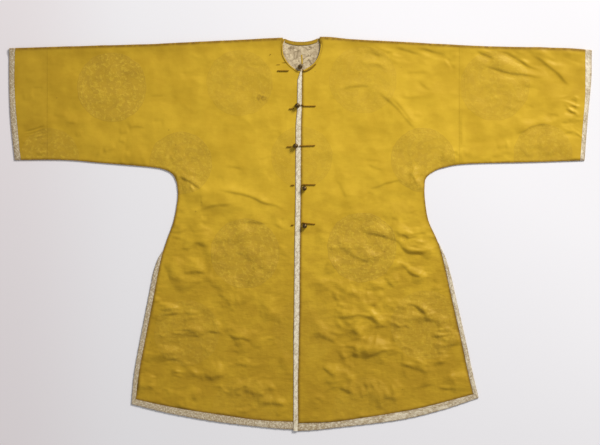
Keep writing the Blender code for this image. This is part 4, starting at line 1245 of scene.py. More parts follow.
class Graph:
    """Adds nodes to one tree and links them."""

    def __init__(self, tree):
        self.nodes = tree.nodes
        self.links = tree.links

    def node(self, kind, feeds=None, **settings):
        """A node with its settings, and its inputs fed with values, plain numbers or colours."""
        node = self.nodes.new(kind)
        for key, value in settings.items():
            setattr(node, key, value)
        for key, value in (feeds or {}).items():
            socket = node.inputs[key]
            if isinstance(value, Value):
                self.links.new(value.socket, socket)
            elif socket.type == "RGBA":
                socket.default_value = (*value[:3], 1.0)
            else:
                socket.default_value = value
        return node

    def take(self, output, kind, feeds=None, **settings):
        """One output of a new node."""
        return Value(self, self.node(kind, feeds, **settings).outputs[output])

    def math(self, operation, a, b=0.0, clamp=False):
        """One maths node on two values."""
        return self.take(0, "ShaderNodeMath", {0: a, 1: b}, operation=operation, use_clamp=clamp)

    def sine(self, value):
        """The sine of a value."""
        return self.math("SINE", value)

    def cosine(self, value):
        """The cosine of a value."""
        return self.math("COSINE", value)

    def reach(self, x, y):
        """The length of (x, y)."""
        return self.math("SQRT", x * x + y * y)

    def most(self, first, *others):
        """The largest of some values."""
        for other in others:
            first = self.math("MAXIMUM", first, other)
        return first

    def span(self, value, low, high, to_low=0.0, to_high=1.0):
        """A value carried smoothly from one span to another."""
        feeds = {"Value": value, "From Min": low, "From Max": high, "To Min": to_low, "To Max": to_high}
        return self.take("Result", "ShaderNodeMapRange", feeds, interpolation_type="SMOOTHSTEP")

    def mix(self, share, a, b):
        """Two colours mixed."""
        return self.take(2, "ShaderNodeMix", {0: share, 6: a, 7: b}, data_type="RGBA")

    def layers(self, colour, *coats):
        """A colour with coats over it, each mixed in by its own share."""
        for share, coat in coats:
            colour = self.mix(share, colour, coat)
        return colour

    def noise(self, vector, scale, detail=3.0, rough=0.55):
        """Noise from 0 to 1."""
        feeds = {"Vector": vector, "Scale": scale, "Detail": detail, "Roughness": rough}
        return self.take("Fac", "ShaderNodeTexNoise", feeds)

    def drawn_out(self, vector, size, turn=0.0, detail=2.0, rough=0.55):
        """Noise on a vector scaled by its own size along each axis and turned round Z."""
        feeds = {"Vector": vector, "Scale": size, "Rotation": (0.0, 0.0, turn)}
        return self.noise(self.take("Vector", "ShaderNodeMapping", feeds), 1.0, detail, rough)

    def cells(self, vector, scale, feature="F1"):
        """Cell pattern: distance to the nearest cell's centre or edge."""
        feeds = {"Vector": vector, "Scale": scale}
        return self.take("Distance", "ShaderNodeTexVoronoi", feeds, feature=feature)

    def parts(self, vector):
        """A vector's three values."""
        return [Value(self, part) for part in self.node("ShaderNodeSeparateXYZ", {0: vector}).outputs]

    def place(self):
        """Object coordinates, in metres."""
        return self.take("Object", "ShaderNodeTexCoord")

    def cloth(self):
        """The piece's own (across, along) in metres."""
        return self.take("UV", "ShaderNodeUVMap", uv_map="cloth")

    def kept(self, name, output="Fac"):
        """A value or vector kept at every point."""
        return self.take(output, "ShaderNodeAttribute", attribute_name=name)

    def bump(self, height, distance, strength=1.0, normal=None):
        """A bump from a height, on top of another normal where there is one."""
        feeds = {"Height": height, "Distance": distance, "Strength": strength}
        if normal is not None:
            feeds["Normal"] = normal
        return self.take("Normal", "ShaderNodeBump", feeds)

    def group(self, name, **feeds):
        """A shared node group placed with its own values; gives its outputs by name."""
        node = self.node("ShaderNodeGroup", feeds, node_tree=bpy.data.node_groups[name])
        return {output.name: Value(self, output) for output in node.outputs}


def new_group(name, takes, make):
    """A node group: its inputs are default numbers or kinds of socket, and make gives its outputs."""
    tree = bpy.data.node_groups.new(name, "ShaderNodeTree")
    for label, default in takes.items():
        is_number = isinstance(default, float)
        kind = NUMBER if is_number else default
        socket = tree.interface.new_socket(label, in_out="INPUT", socket_type=kind)
        if is_number:
            socket.default_value = default
    g = Graph(tree)
    inputs = {output.name: Value(g, output) for output in g.node("NodeGroupInput").outputs}
    gives = make(g, inputs)
    for label in gives:
        kind = COLOUR if label == "Colour" else NUMBER
        tree.interface.new_socket(label, in_out="OUTPUT", socket_type=kind)
    g.node("NodeGroupOutput", gives)


def damask_roundel(g, takes):
    """Damask roundel: a ring round a rosette, eight curled leaves and a vine, woven in another binding.
    Figure is 1 on the motif; it reads (u, v, strength) in radii from the roundel's centre."""
    grain = takes["Grain"]
    u, v, strength = g.parts(takes["Place"])
    wander = g.noise(grain, 38.0, 2.0)
    scroll = g.span(abs(g.sine(g.noise(grain, 52.0, 2.0, 0.5) * 42.0)), 0.62, 0.30)
    r = g.reach(u, v) + (wander - 0.5) * 0.10
    turn = g.math("ARCTAN2", v, u)
    ring = g.span(abs(r - 0.95), 0.022, 0.010)
    inner = g.span(abs(r - 0.84), 0.016, 0.006)
    petals = g.cosine(turn * 6.0) * 0.06 + 0.20
    heart = g.span(r, 0.07, 0.05)
    rosette = g.math("SUBTRACT", g.span(r - petals, 0.02, -0.01), heart, clamp=True)
    curl = turn * 8.0 + g.sine(r * 11.0) * 2.4
    veins = g.span(abs(g.sine(curl + r * 30.0)), 0.12, 0.30)
    within = g.span(r, 0.30, 0.34) * g.span(r, 0.80, 0.76)
    leaves = g.span(g.cosine(curl) + wander * 0.9, 0.42, 0.62) * within * (veins * 0.55 + 0.45)
    border = g.span(g.cosine(turn * 40.0), 0.1, 0.4) * g.span(abs(r - 0.895), 0.028, 0.016)
    scroll = scroll * g.span(r, 0.93, 0.88, 0.0, 0.75)
    figure = g.most(ring, inner, rosette, leaves, scroll, border)
    worn = g.span(g.noise(grain, 14.0), 0.25, 0.6, 0.45, 1.0)
    fleck = g.span(g.noise(grain, 125.0, 3.0, 0.6), 0.46, 0.70)
    disc = g.span(r, 0.97, 0.93) * strength
    return {"Figure": figure * strength * worn, "Fleck": fleck * disc, "Disc": disc}


def silk_ground(g, takes):
    """Silk ground: Threads is the height of fine crossing threads, Slub is streaks of uneven weft, Fade is
    broad unevenness, Shade_share is how much of the painted shade stays in each patch, Dull_shade is painted
    shade in cloud patches that grow lower down, Crinkle is fine wrinkling."""
    place, pitch = takes["Place"], takes["Pitch"]
    x, y, _ = g.parts(place)
    threads = (abs(g.sine(x * pitch)) + abs(g.sine(y * pitch))) * 0.5
    along = g.drawn_out(place, (9.0, 900.0, 9.0))
    up = g.drawn_out(place, (700.0, 7.0, 7.0))
    fade = g.noise(place, 5.5, 4.0, 0.6) * 0.7 + g.noise(place, 22.0, 3.0, 0.6) * 0.3
    clouds = g.drawn_out(place, (15.0, 27.0, 15.0), 0.12, 4.0, 0.62)
    one = g.drawn_out(place, (17.0, 40.0, 17.0), 0.16, 4.0)
    two = g.drawn_out(place, (48.0, 24.0, 24.0), 0.6, 4.0)
    crinkle = one * 0.65 + two * (g.noise(place, 14.0, 2.0) * 0.7)
    return {
        "Threads": threads,
        "Slub": along * 0.6 + up * 0.4,
        "Fade": fade,
        "Dull_shade": g.span(clouds, 0.56, 0.40) * g.span(y, 0.24, -0.16, 0.25, 1.0),
        "Shade_share": g.span(g.noise(place, 11.0, 4.0, 0.62), 0.36, 0.62, 1.0, 0.72),
        "Crinkle": crinkle * g.span(y, 0.16, -0.16, 0.30, 1.0),
    }


def cloth_wear(g, takes):
    """Cloth wear and painted shade: Soil_and_shade is the edge mark kept at every point, broken up by
    noise, which stands for soil and painted shade together, and Spots are rare stains.
    """
    place = takes["Place"]
    broken = g.span(g.noise(place, 95.0, 4.0, 0.65), 0.30, 0.62, 0.60, 1.0)
    spots = g.span(g.cells(place, 24.0), 0.075, 0.03) * g.span(g.noise(place, 6.0, 2.0), 0.52, 0.62)
    return {"Soil_and_shade": g.math("MULTIPLY", takes["Wear"], broken, clamp=True), "Spots": spots}


def brocade_figure(g, takes):
    """Brocade band: satin with woven vines, leaves and small blossoms, in zones along its length that turn
    from bright to greyed. It reads (across, along) in metres."""
    across, along, _ = g.parts(takes["Place"])
    shifted = along + takes["Turn"]
    flat = g.take(0, "ShaderNodeCombineXYZ", {0: across, 1: shifted, 2: 0.0})
    zone = g.drawn_out(flat, (30.0, 24.0, 1.0), 0.0, 3.0, 0.6)
    bright = g.span(zone + takes["Share"], 0.40, 0.62)
    bent = across + g.noise(flat, 120.0, 2.0) * 0.004
    vine = g.span(abs(bent - (g.sine(shifted * 260.0) * 0.0035 + 0.009)), 0.0011, 0.0004)
    leaf = g.span(g.cells(flat, 210.0), 0.42, 0.26) * g.span(g.noise(flat, 260.0, 2.0), 0.45, 0.55)
    squat = g.take("Vector", "ShaderNodeMapping", {"Vector": flat, "Scale": (1.0, 0.8, 1.0)})
    figure = g.most(vine, leaf, g.span(g.cells(squat, 85.0), 0.24, 0.14))
    mottle = g.span(g.noise(flat, 190.0, 4.0, 0.7), 0.47, 0.58)
    blotch = g.span(g.noise(flat, 85.0, 3.0, 0.6), 0.46, 0.56)
    fine = g.noise(flat, 800.0, 2.0)
    light, grey = takes["Light"], takes["Grey"]
    shade = g.layers(
        grey, (bright, light), (blotch * takes["Blotch"], grey), (mottle * 0.80, light),
        (figure * g.span(bright, 0.0, 1.0, 0.75, 0.45), takes["Gold"]), (fine * takes["Dust"], grey))
    return {"Colour": shade, "Relief": figure * 0.8 + fine * 0.3, "Bright": bright}


def thread_ply(g, takes):
    """Thread: fibres that run round a cord or along a stitch, as height and as a shade."""
    place = takes["Place"]
    fibre = g.drawn_out(place, (2200.0, 2200.0, 900.0), 0.6, 3.0)
    return {"Fibre": fibre, "Shade": fibre * 0.6 + g.noise(place, 160.0, 2.0) * 0.4}


def metal_age(g, takes):
    """Old metal: dark tarnish in hollows and rubbed places, with small pits."""
    place = takes["Place"]
    return {"Tarnish": g.span(g.noise(place, 260.0, 4.0, 0.6), 0.35, 0.62),
            "Pits": g.noise(place, 1500.0, 3.0, 0.6)}


GROUPS = (
    (damask_roundel, {"Place": VECTOR, "Grain": VECTOR}),
    (silk_ground, {"Place": VECTOR, "Pitch": 1400.0}),
    (cloth_wear, {"Place": VECTOR, "Wear": 0.0}),
    (brocade_figure, {"Place": VECTOR, "Light": COLOUR, "Grey": COLOUR, "Gold": COLOUR, "Turn": 0.0,
                      "Share": 0.0, "Blotch": 0.42, "Dust": 0.35}),
    (thread_ply, {"Place": VECTOR}),
    (metal_age, {"Place": VECTOR}),
)


def gold_silk_damask(g, robe):
    """Gold silk damask: roundels, uneven fading, soil and painted shade at the edges, painted shade away
    from the light, one old smudge and a soft sheen.
    """
    place = g.place()
    x, y, _ = g.parts(place)
    silk = g.group("silk_ground", Place=place)
    roundel = g.group("damask_roundel", Place=g.kept("roundel", "Vector"), Grain=place)
    wear = g.group("cloth_wear", Place=place, Wear=g.kept("wear"))
    # Painted shade: the silk turns to silk_shaded away from a bright centre at the upper right, most towards
    # the lower left, in place of the light's falloff; Shade_share lightens it in patches
    outward = g.reach((x - 0.18) / 1.12, (y - 0.25) / 0.62)
    from_smudge = g.reach(x - SMUDGE[0], y - SMUDGE[1])
    smudge = g.span(from_smudge, 0.024, 0.004) * g.span(g.noise(place, 120.0), 0.42, 0.62)
    base = g.layers(
        robe.silk_deep,
        (g.span(silk["Fade"], 0.34, 0.62), robe.silk),
        (g.span(outward, 0.10, 1.15, 0.0, 0.86) * silk["Shade_share"], robe.silk_shaded),
        # Painted shade: darker cloud patches, strongest lower down, in place of uneven sheen
        (silk["Dull_shade"] * 0.40, robe.silk_shaded),
        (g.kept("tone") * 0.10, robe.soil_and_shade),
        (g.span(silk["Slub"], 0.35, 0.68, 0.0, 0.06), robe.silk_light),
        (roundel["Disc"] * 0.27, robe.silk_figure),
        (roundel["Figure"] * 0.36, robe.silk_figure),
        (roundel["Fleck"] * 0.42, robe.silk_light),
        (smudge * 0.55, robe.soil_and_shade),
        (wear["Spots"] * 0.35, robe.soil_and_shade),
        # Soil and painted shade along the edges
        (wear["Soil_and_shade"] * 0.90, robe.soil_and_shade),
    )
    normal = g.bump(silk["Crinkle"], 5.0 * MM, 0.8)
    normal = g.bump(silk["Threads"], 0.04 * MM, 0.4, normal)
    return {
        "Base Color": base,
        "Roughness": g.span(silk["Fade"], 0.3, 0.7, 0.54, 0.44) - roundel["Figure"] * 0.06,
        "Specular IOR Level": 0.30, "Specular Tint": (1.0, 0.84, 0.42),
        "Sheen Weight": 0.10, "Sheen Roughness": 0.35, "Sheen Tint": (1.0, 0.80, 0.35),
        "Normal": g.bump(roundel["Figure"] * 0.5 + roundel["Fleck"], 0.35 * MM, 0.7, normal),
    }


def figured_brocade(g, robe, share, soil_and_shade, dust):
    """Figured brocade with rubbed edges and painted shade on them: share adds to its bright zones,
    soil_and_shade is how brown and shaded its edges are and dust how dull its threads. Its zones brighten
    towards the upper right as painted light."""
    place = g.place()
    x, y, _ = g.parts(place)
    # Painted light: the bright zones grow towards the right and the top, where the light falls
    zones = g.span(x, -0.90, 0.45, -0.13, 0.075) + share + y * 0.11
    figure = g.group("brocade_figure", Place=g.cloth(), Light=robe.brocade_light, Grey=robe.brocade_grey,
                     Gold=robe.brocade_gold, Turn=x * 0.35, Share=zones, Blotch=0.55, Dust=dust)
    wear = g.group("cloth_wear", Place=place, Wear=g.kept("wear"))
    relief = g.bump(figure["Relief"], 0.35 * MM, 0.8)
    return {
        # Rubbed edges with painted shade
        "Base Color": g.mix(wear["Soil_and_shade"] * soil_and_shade, figure["Colour"], robe.soil_and_shade),
        "Roughness": g.span(figure["Bright"], 0.0, 1.0, 0.60, 0.42),
        "Specular IOR Level": 0.4, "Sheen Weight": 0.15, "Sheen Roughness": 0.4,
        "Normal": g.bump(g.noise(place, 160.0), 0.8 * MM, 0.5, relief),
    }


def veined_lining(g, robe):
    """Pale lining with grey and olive veins, softly lustrous, greyer at its right as painted shadow of the
    neck band.
    """
    place = g.place()
    bend = g.take("Color", "ShaderNodeTexNoise", {"Vector": place, "Scale": 45.0})
    bent = g.take(0, "ShaderNodeVectorMath", {0: bend, 1: (0.020, 0.020, 0.0), 2: place},
                  operation="MULTIPLY_ADD")
    vein = g.span(g.cells(bent, 62.0, "DISTANCE_TO_EDGE"), 0.11, 0.02) * g.span(
        g.noise(place, 90.0), 0.40, 0.62)
    patch = g.span(g.noise(place, 62.0, 4.0, 0.65), 0.44, 0.58)
    base = g.layers(
        robe.lining,
        (patch * 0.55, robe.lining_grey),
        (g.span(g.noise(place, 210.0, 4.0, 0.7), 0.50, 0.60) * 0.45, robe.lining_grey),
        (vein * 0.85, robe.lining_olive),
        # Painted shadow: the lining greys towards its right, under the neck band
        (g.span(g.parts(place)[0], 0.015, 0.055, 0.0, 0.40), robe.lining_grey),
        (g.noise(place, 700.0, 2.0) * 0.25, robe.lining_grey),
    )
    return {
        "Base Color": base, "Roughness": g.span(patch, 0.0, 1.0, 0.46, 0.60), "Sheen Weight": 0.15,
        "Normal": g.bump(g.noise(place, 240.0), 0.4 * MM, 0.6),
    }


def twisted_thread(g, place, dark, light):
    """Twisted silk thread or cord with visible fibres."""
    thread = g.group("thread_ply", Place=place)
    return {
        "Base Color": g.mix(g.span(thread["Shade"], 0.35, 0.65), dark, light),
        "Roughness": g.span(thread["Fibre"], 0.3, 0.7, 0.62, 0.80), "Specular IOR Level": 0.15,
        "Normal": g.bump(thread["Fibre"], 0.12 * MM, 0.7),
    }


def old_bronze(g, robe):
    """Cast bronze, tarnished dark and rubbed brighter in places."""
    metal = g.group("metal_age", Place=g.place())
    tarnish = metal["Tarnish"]
    return {
        "Base Color": g.mix(tarnish, robe.bronze_bright, robe.bronze),
        "Metallic": g.span(tarnish, 0.0, 1.0, 0.95, 0.65),
        "Roughness": g.span(tarnish, 0.0, 1.0, 0.28, 0.46),
        "Normal": g.bump(metal["Pits"], 0.10 * MM, 0.5),
    }


def pale_floor(g, robe):
    """Plain pale paper, hardly uneven, warmer and darker at the left and darker at the upper right; both
    darkenings are painted shade.
    """
    place = g.place()
    x, y, _ = g.parts(place)
    uneven = g.span(g.noise(place, 2.0, 2.0), 0.3, 0.7, 0.0, 0.5)
    shade = g.layers(
        robe.floor,
        (uneven, [0.985 * value for value in robe.floor]),
        # Painted shade: a warmer, darker tint towards the left
        (g.span(x, -0.45, -0.85), robe.floor_warm_shaded),
        # Painted shade: darker towards the upper right, against the lamp's brighter light there
        (g.span(x + y, 0.7, 1.5), [0.91 * value for value in robe.floor]),
    )
    return {"Base Color": shade, "Roughness": 0.85, "Specular IOR Level": 0.1}


FINISHES = {
    "gold_silk_damask": gold_silk_damask,
    "pale_figured_brocade": lambda g, robe: figured_brocade(g, robe, -0.055, 0.50, 0.35),
    "bright_figured_brocade": lambda g, robe: figured_brocade(g, robe, 0.17, 0.90, 0.06),
    "veined_lining": veined_lining,
    "brown_silk_cord": lambda g, robe: twisted_thread(g, g.cloth(), robe.cord, robe.cord_light),
    "gold_sewing_thread": lambda g, robe: twisted_thread(g, g.place(), robe.thread_gold, robe.silk_light),
    "pale_sewing_thread": lambda g, robe: twisted_thread(g, g.place(), robe.thread_pale, robe.brocade_light),
    "brown_sewing_thread": lambda g, robe: twisted_thread(g, g.place(), robe.cord, robe.cord_light),
    "old_bronze": old_bronze,
    "pale_floor": pale_floor,
}


def finish_of(name):
    """The named finish, made once: a material whose shader is fed by its maker's values."""
    made = bpy.data.materials.get(name)
    if made is not None:
        return made
    if not bpy.data.node_groups.get(GROUPS[0][0].__name__):
        for make, takes in GROUPS:
            new_group(make.__name__, takes, make)
    material = bpy.data.materials.new(name)
    material.use_nodes = True
    material.node_tree.nodes.clear()
    g = Graph(material.node_tree)
    shader = g.take(0, "ShaderNodeBsdfPrincipled", FINISHES[name](g, bpy.context.scene.robe))
    g.node("ShaderNodeOutputMaterial", {"Surface": shader})
    return material


def place_piece(name, shell, finish, node=None):
    """Link a shell as a piece on the robe's body, in place of its CAD node where it has one."""
    mesh = shell.mesh(name)
    mesh.materials.append(finish_of(finish))
    piece = bpy.data.objects.new(name, mesh)
    bpy.context.scene.collection.objects.link(piece)
    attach(piece, "root")
    if node:
        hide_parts(node)
    return piece


def place_silk(node, shell):
    """A piece of gold damask in place of its CAD node."""
    return place_piece(f"silk_{node}", shell, "gold_silk_damask", node)


def place_brocade(node, shell):
    """A brocade border in place of its CAD node."""
    return place_piece(f"brocade_{node}", shell, "pale_figured_brocade", node)


def surface_area(piece):
    """Half the area of a closed shell, which is its cloth's."""
    mesh = piece.data
    area = np.empty(len(mesh.polygons), dtype=np.float32)
    mesh.polygons.foreach_get("area", area)
    return float(area.sum()) / 2


def tint(name, description, *default):
    """A colour that a maker would change."""
    return FloatVectorProperty(name=name, description=description, subtype="COLOR", default=default)


def step(name, description, default, least):
    """A mesh step or stitch step that a maker would change."""
    return FloatProperty(name=name, description=description, default=default, min=least, unit="LENGTH")


class RobeSettings(PropertyGroup):
    """Sizes and colours that a maker would change."""

    crease_share: FloatProperty(
        name="Crease height", description="Share of the creases' full height", default=1.0, min=0.0, max=2.0,
        subtype="FACTOR")
    body_right_spacing: step("Right body mesh", "Step of the right body's mesh", 0.0028, 0.002)
    body_left_spacing: step("Left body mesh", "Step of the left body's mesh", 0.0026, 0.002)
    sleeve_spacing: step("Sleeve mesh", "Step of the sleeve ends' mesh", 0.0021, 0.0015)
    hem_stitch_pitch: step("Border stitches", "Step between the stitches of the borders", 0.006, 0.003)
    strip_stitch_pitch: step("Strip stitches", "Step between the front strip's stitches", 0.0085, 0.003)
    silk: tint("Silk", "The silk's usual colour", 0.680, 0.435, 0.028)
    # Painted shade: the silk's colour where it stands in for shade away from the light and for dull sheen
    silk_shaded: tint("Shaded silk", "The silk where age has dulled it", 0.395, 0.226, 0.013)
    silk_deep: tint("Deep silk", "The silk where it is deeper", 0.590, 0.366, 0.020)
    silk_light: tint("Light silk", "The silk's lighter threads", 0.730, 0.500, 0.045)
    silk_figure: tint("Damask figure", "The figure of the roundels", 0.400, 0.240, 0.030)
    # Soil and painted shade: soiled edges, marks and stains, and the painted shade along edges
    soil_and_shade: tint("Soil_and_shade", "Soiled edges and marks", 0.185, 0.092, 0.012)
    brocade_light: tint("Light brocade", "The brocade's satin", 0.900, 0.805, 0.600)
    brocade_grey: tint("Grey brocade", "The brocade's greyed ground", 0.400, 0.302, 0.180)
    brocade_gold: tint("Gold brocade", "The brocade's figure", 0.520, 0.410, 0.210)
    lining: tint("Lining", "The lining's light colour", 0.740, 0.600, 0.370)
    lining_grey: tint("Grey lining", "The lining's grey patches", 0.340, 0.243, 0.125)
    lining_olive: tint("Lining veins", "The lining's olive veins", 0.190, 0.125, 0.050)
    cord: tint("Cord", "The dark of the cords", 0.165, 0.074, 0.003)
    cord_light: tint("Light cord", "The light of the cords", 0.350, 0.185, 0.010)
    thread_gold: tint("Gold thread", "Thread that sews the silk", 0.420, 0.250, 0.020)
    thread_pale: tint("Pale thread", "Thread that sews the borders", 0.420, 0.340, 0.200)
    bronze: tint("Bronze", "Tarnished bronze", 0.026, 0.015, 0.004)
    bronze_bright: tint("Rubbed bronze", "Bronze where it is rubbed", 0.250, 0.155, 0.050)
    floor: tint("Floor", "The floor's colour", 0.890, 0.875, 0.892)
    # Painted shade: the floor's warmer, darker tint at the left
    floor_warm_shaded: tint("Warm floor", "The floor where it is warmer, at the left", 0.845, 0.790, 0.800)
    key_power: FloatProperty(
        name="Key light", description="The large light's power", default=345.0, min=0.0, unit="POWER")
    fill: FloatProperty(
        name="Fill light", description="Strength of the even light", default=0.38, min=0.0)
    camera_height: FloatProperty(
        name="Camera height", description="The camera's height over the floor", default=4.0163,
        unit="LENGTH")


def add_object(name, data, place=(0.0, 0.0, 0.0)):
    """A new object in the scene."""
    thing = bpy.data.objects.new(name, data)
    bpy.context.scene.collection.objects.link(thing)
    thing.location = place
    return thing


class ROBE_OT_stage(Operator):
    """Floor, one large soft light, even fill and the camera straight above"""

    bl_idname = "robe.stage"
    bl_label = "Stage"

    def execute(self, context):
        robe = context.scene.robe
        x, y = np.meshgrid(*[np.linspace(-FLOOR_HALF, FLOOR_HALF, 5)] * 2)
        sheet = Shell()
        sheet.quads(sheet.add(x, y, FLOOR_LEVEL))
        mesh = bpy.data.meshes.new("floor")
        mesh.from_pydata(sheet.marks["place"][0].tolist(), [], sheet.faces[0].tolist())
        mesh.materials.append(finish_of("pale_floor"))
        add_object("floor", mesh)

        light = bpy.data.lights.new("key", "AREA")
        light.shape = "RECTANGLE"
        light.size, light.size_y = KEY_SIZE
        light.energy = robe.key_power
        light.color = (1.0, 0.985, 0.97)
        lamp = add_object("key", light, KEY_PLACE)
        toward = mathutils.Vector(KEY_TARGET) - mathutils.Vector(KEY_PLACE)
        lamp.rotation_euler = toward.to_track_quat("-Z", "Y").to_euler()

        world = bpy.data.worlds.new("even_light")
        world.use_nodes = True
        ground = world.node_tree.nodes["Background"]
        ground.inputs["Color"].default_value = (0.965, 0.975, 1.0, 1.0)
        ground.inputs["Strength"].default_value = robe.fill
        context.scene.world = world

        camera = bpy.data.cameras.new("camera")
        camera.lens = 85.0
        camera.sensor_width = 36.0
        camera.clip_end = 50.0
        context.scene.camera = add_object("camera", camera, (*CAMERA_OVER, robe.camera_height))
        context.scene.view_settings.view_transform = "Standard"
        return {"FINISHED"}


def lay(piece, width, length, *rests_on, **more):
    """Does nothing: the piece, its width and length, what it rests on and the other values are not used."""


class ROBE_OT_bodies(Operator):
    """Both loom widths of gold damask, each with front, shoulder fold and back in one"""

    bl_idname = "robe.bodies"
    bl_label = "Bodies"

    def execute(self, context):
        robe = context.scene.robe
        for half, spacing in ((RIGHT, robe.body_right_spacing), (LEFT, robe.body_left_spacing)):
            piece = place_silk(f"body_{half.name}", body_shell(half, spacing))
            width, area = BODY_CUT[half.name]
            lay(piece, width, BODY_LENGTH, area=area)
        return {"FINISHED"}


class ROBE_OT_sleeve_ends(Operator):
    """The damask sleeve ends beyond the loom width, folded at the top"""

    bl_idname = "robe.sleeve_ends"
    bl_label = "Sleeve ends"

    def execute(self, context):
        for half in HALVES:
            cuff_in = smooth_curve(half.cuff_in)
            start = half.seam_out + GAP / 2
            shell = sleeve_shell(half, lambda up: np.full_like(up, start),
                                 lambda up: out_at(cuff_in, up) - GAP / 2, False)
            piece = place_silk(f"sleeve_end_{half.name}", shell)
            width = half.cuff_in[0][0] * MM - start
            lay(piece, width, SLEEVE_ROUND, area=SLEEVE_FILL * width * SLEEVE_ROUND)
        return {"FINISHED"}


class ROBE_OT_cuffs(Operator):
    """The brocade bands round the cuffs, folded at the top"""

    bl_idname = "robe.cuffs"
    bl_label = "Cuff borders"

    def execute(self, context):
        for half in HALVES:
            cuff_in = smooth_curve(half.cuff_in)
            cuff_out = smooth_curve(half.cuff_out)
            shell = sleeve_shell(half, lambda up: out_at(cuff_in, up) + GAP / 2,
                                 lambda up: out_at(cuff_out, up), True)
            lay(place_brocade(f"cuff_border_{half.name}", shell), CUFF_WIDTH[half.name], SLEEVE_ROUND)
        return {"FINISHED"}


class ROBE_OT_front_strip(Operator):
    """The brocade strip down the front edge"""

    bl_idname = "robe.front_strip"
    bl_label = "Front strip"

    def execute(self, context):
        left, right, base = front_strip_edges()
        shell = band_shell(left, right, base, WALL, 3, 0.25 * MM)
        piece = place_piece("brocade_front_edge", shell, "bright_figured_brocade",
                            "front_edge_border")
        lay(piece, *STRIP_CUT, "silk_body_right", area=STRIP_AREA)
        return {"FINISHED"}


class ROBE_OT_borders(Operator):
    """The brocade strips along the hem and the side vents, mitred at the corners"""

    bl_idname = "robe.borders"
    bl_label = "Hem and vent borders"

    def execute(self, context):
        seed = 10
        for half in HALVES:
            for name, edges, base in (
                ("vent_border_front", vent_edges(half), FRONT_BASE),
                ("vent_border_back", vent_edges(half), 0.0),
                ("hem_border_front", front_hem_edges(half), FRONT_BASE),
            ):
                add_band(f"{name}_{half.name}", *edges, base, seed)
                seed += 2
        add_band("hem_border_back", *back_hem_edges(), 0.0, seed)
        return {"FINISHED"}


def add_band(name, inner, outer, base, seed):
    """One brocade band in place of its CAD node; its width, length and area go to lay."""
    piece = place_brocade(name, band_shell(inner, outer, base, WALL, seed))
    middle = (inner + outer) / 2
    across = np.linalg.norm(outer - inner, axis=1)
    area = float((step_lengths(middle) * (across[1:] + across[:-1]) / 2).sum())
    lay(piece, max(float(across.max()), NARROWEST_SHEET), curve_length(middle), area=area)


class ROBE_OT_neck(Operator):
    """The neck's bindings, the band inside the back neck, the lining and its tab"""

    bl_idname = "robe.neck"
    bl_label = "Neck"

    def execute(self, context):
        piece = place_piece("silk_back_neck_lining", lining_shell(), "veined_lining",
                            "back_neck_lining")
        lay(piece, *LINING_CUT, "silk_body_right", "silk_body_left", area=surface_area(piece))
        for half in HALVES:
            inner, outer, level = binding_edges(half)
            shell = band_shell(inner, outer, level, BINDING_WALL, 40, 0.15 * MM)
            length = curve_length(inner)
            lay(place_silk(f"neck_binding_{half.name}", shell), NARROWEST_SHEET, length,
                f"silk_body_{half.name}", area=BINDING_WIDTH * length)
        inner, outer = back_neck_arc(GAP, 61), back_neck_arc(GAP + BAND_WIDTH, 61)
        level = LINING_LEVEL + LINING_WALL + GAP
        shell = band_shell(inner, outer, level, LINING_WALL, 44, 0.2 * MM)
        shell.tone = 5.0
        lay(place_silk("neck_band_back", shell), BAND_WIDTH, curve_length(inner), "silk_back_neck_lining")
        rows = np.array(LINING_TAB) * MM
        fine = shares(21)
        inner, outer = at_fractions(rows[:, (0, 2)], fine), at_fractions(rows[:, (1, 2)], fine)
        shell = band_shell(inner, outer, level, BINDING_WALL, 46, 0.1 * MM)
        lay(place_silk("lining_tab", shell), NARROWEST_SHEET, TAB_CUT[1], "silk_back_neck_lining",
            area=TAB_CUT[0] * TAB_CUT[1])
        return {"FINISHED"}


class ROBE_OT_fastenings(Operator):
    """Bronze ball buttons with their shanks, and the cord tails and loops"""

    bl_idname = "robe.fastenings"
    bl_label = "Fastenings"

    def execute(self, context):
        strip_top = FRONT_BASE + OVERLAP_LIFT + WALL
        for number, row in enumerate(FASTENINGS, start=1):
            at_neck = number == 1
            extra = LINING_LIFT if at_neck else 0.0
            seat = BACK_TOP + GAP + LINING_WALL if at_neck else strip_top
            centre = np.array((row.ball_x * MM, row.ball_y * MM, seat + GAP + BALL_RADIUS))
            level = strip_top + extra + GAP + CORD_RADIUS
            button_tail = cord_route(row.button_tail, level)
            toward = unit(button_tail[:1] - centre)[0]
            side = unit(np.cross(toward, UP)[None])[0]
            ring = torus_shell(centre + toward * (BALL_RADIUS + SHANK_REACH), toward,
                               np.cross(side, toward), SHANK_RADIUS, SHANK_WIRE)
            button = merge_shells((ball_shell(centre, BALL_RADIUS), ring))
            place_piece(f"bronze_button_{number}", button, "old_bronze", f"button_{number}")
            button_tail = twisted_cord_shell(button_tail, CORD_RADIUS)
            low = FRONT_TOP + extra + GAP + CORD_RADIUS
            loop_tail = [twisted_cord_shell(cord_route(row.loop_tail, low), CORD_RADIUS)]
            if number in LOOPS_SHOWN:
                turn = np.linspace(0.15, 2 * math.pi, 60)
                round_ball = np.column_stack((
                    centre[0] - LOOP_RADII[0] * np.cos(turn), centre[1] + LOOP_RADII[1] * np.sin(turn),
                    np.full(len(turn), strip_top + GAP + LOOP_LIFT)))
                loop_tail.append(twisted_cord_shell(round_ball, LOOP_CORD, LOOP_LAY))
            for node, shell in (("button_tail", button_tail), ("loop_tail", merge_shells(loop_tail))):
                place_piece(f"cord_{node}_{number}", shell, "brown_silk_cord",
                            f"{node}_{number}")
        return {"FINISHED"}


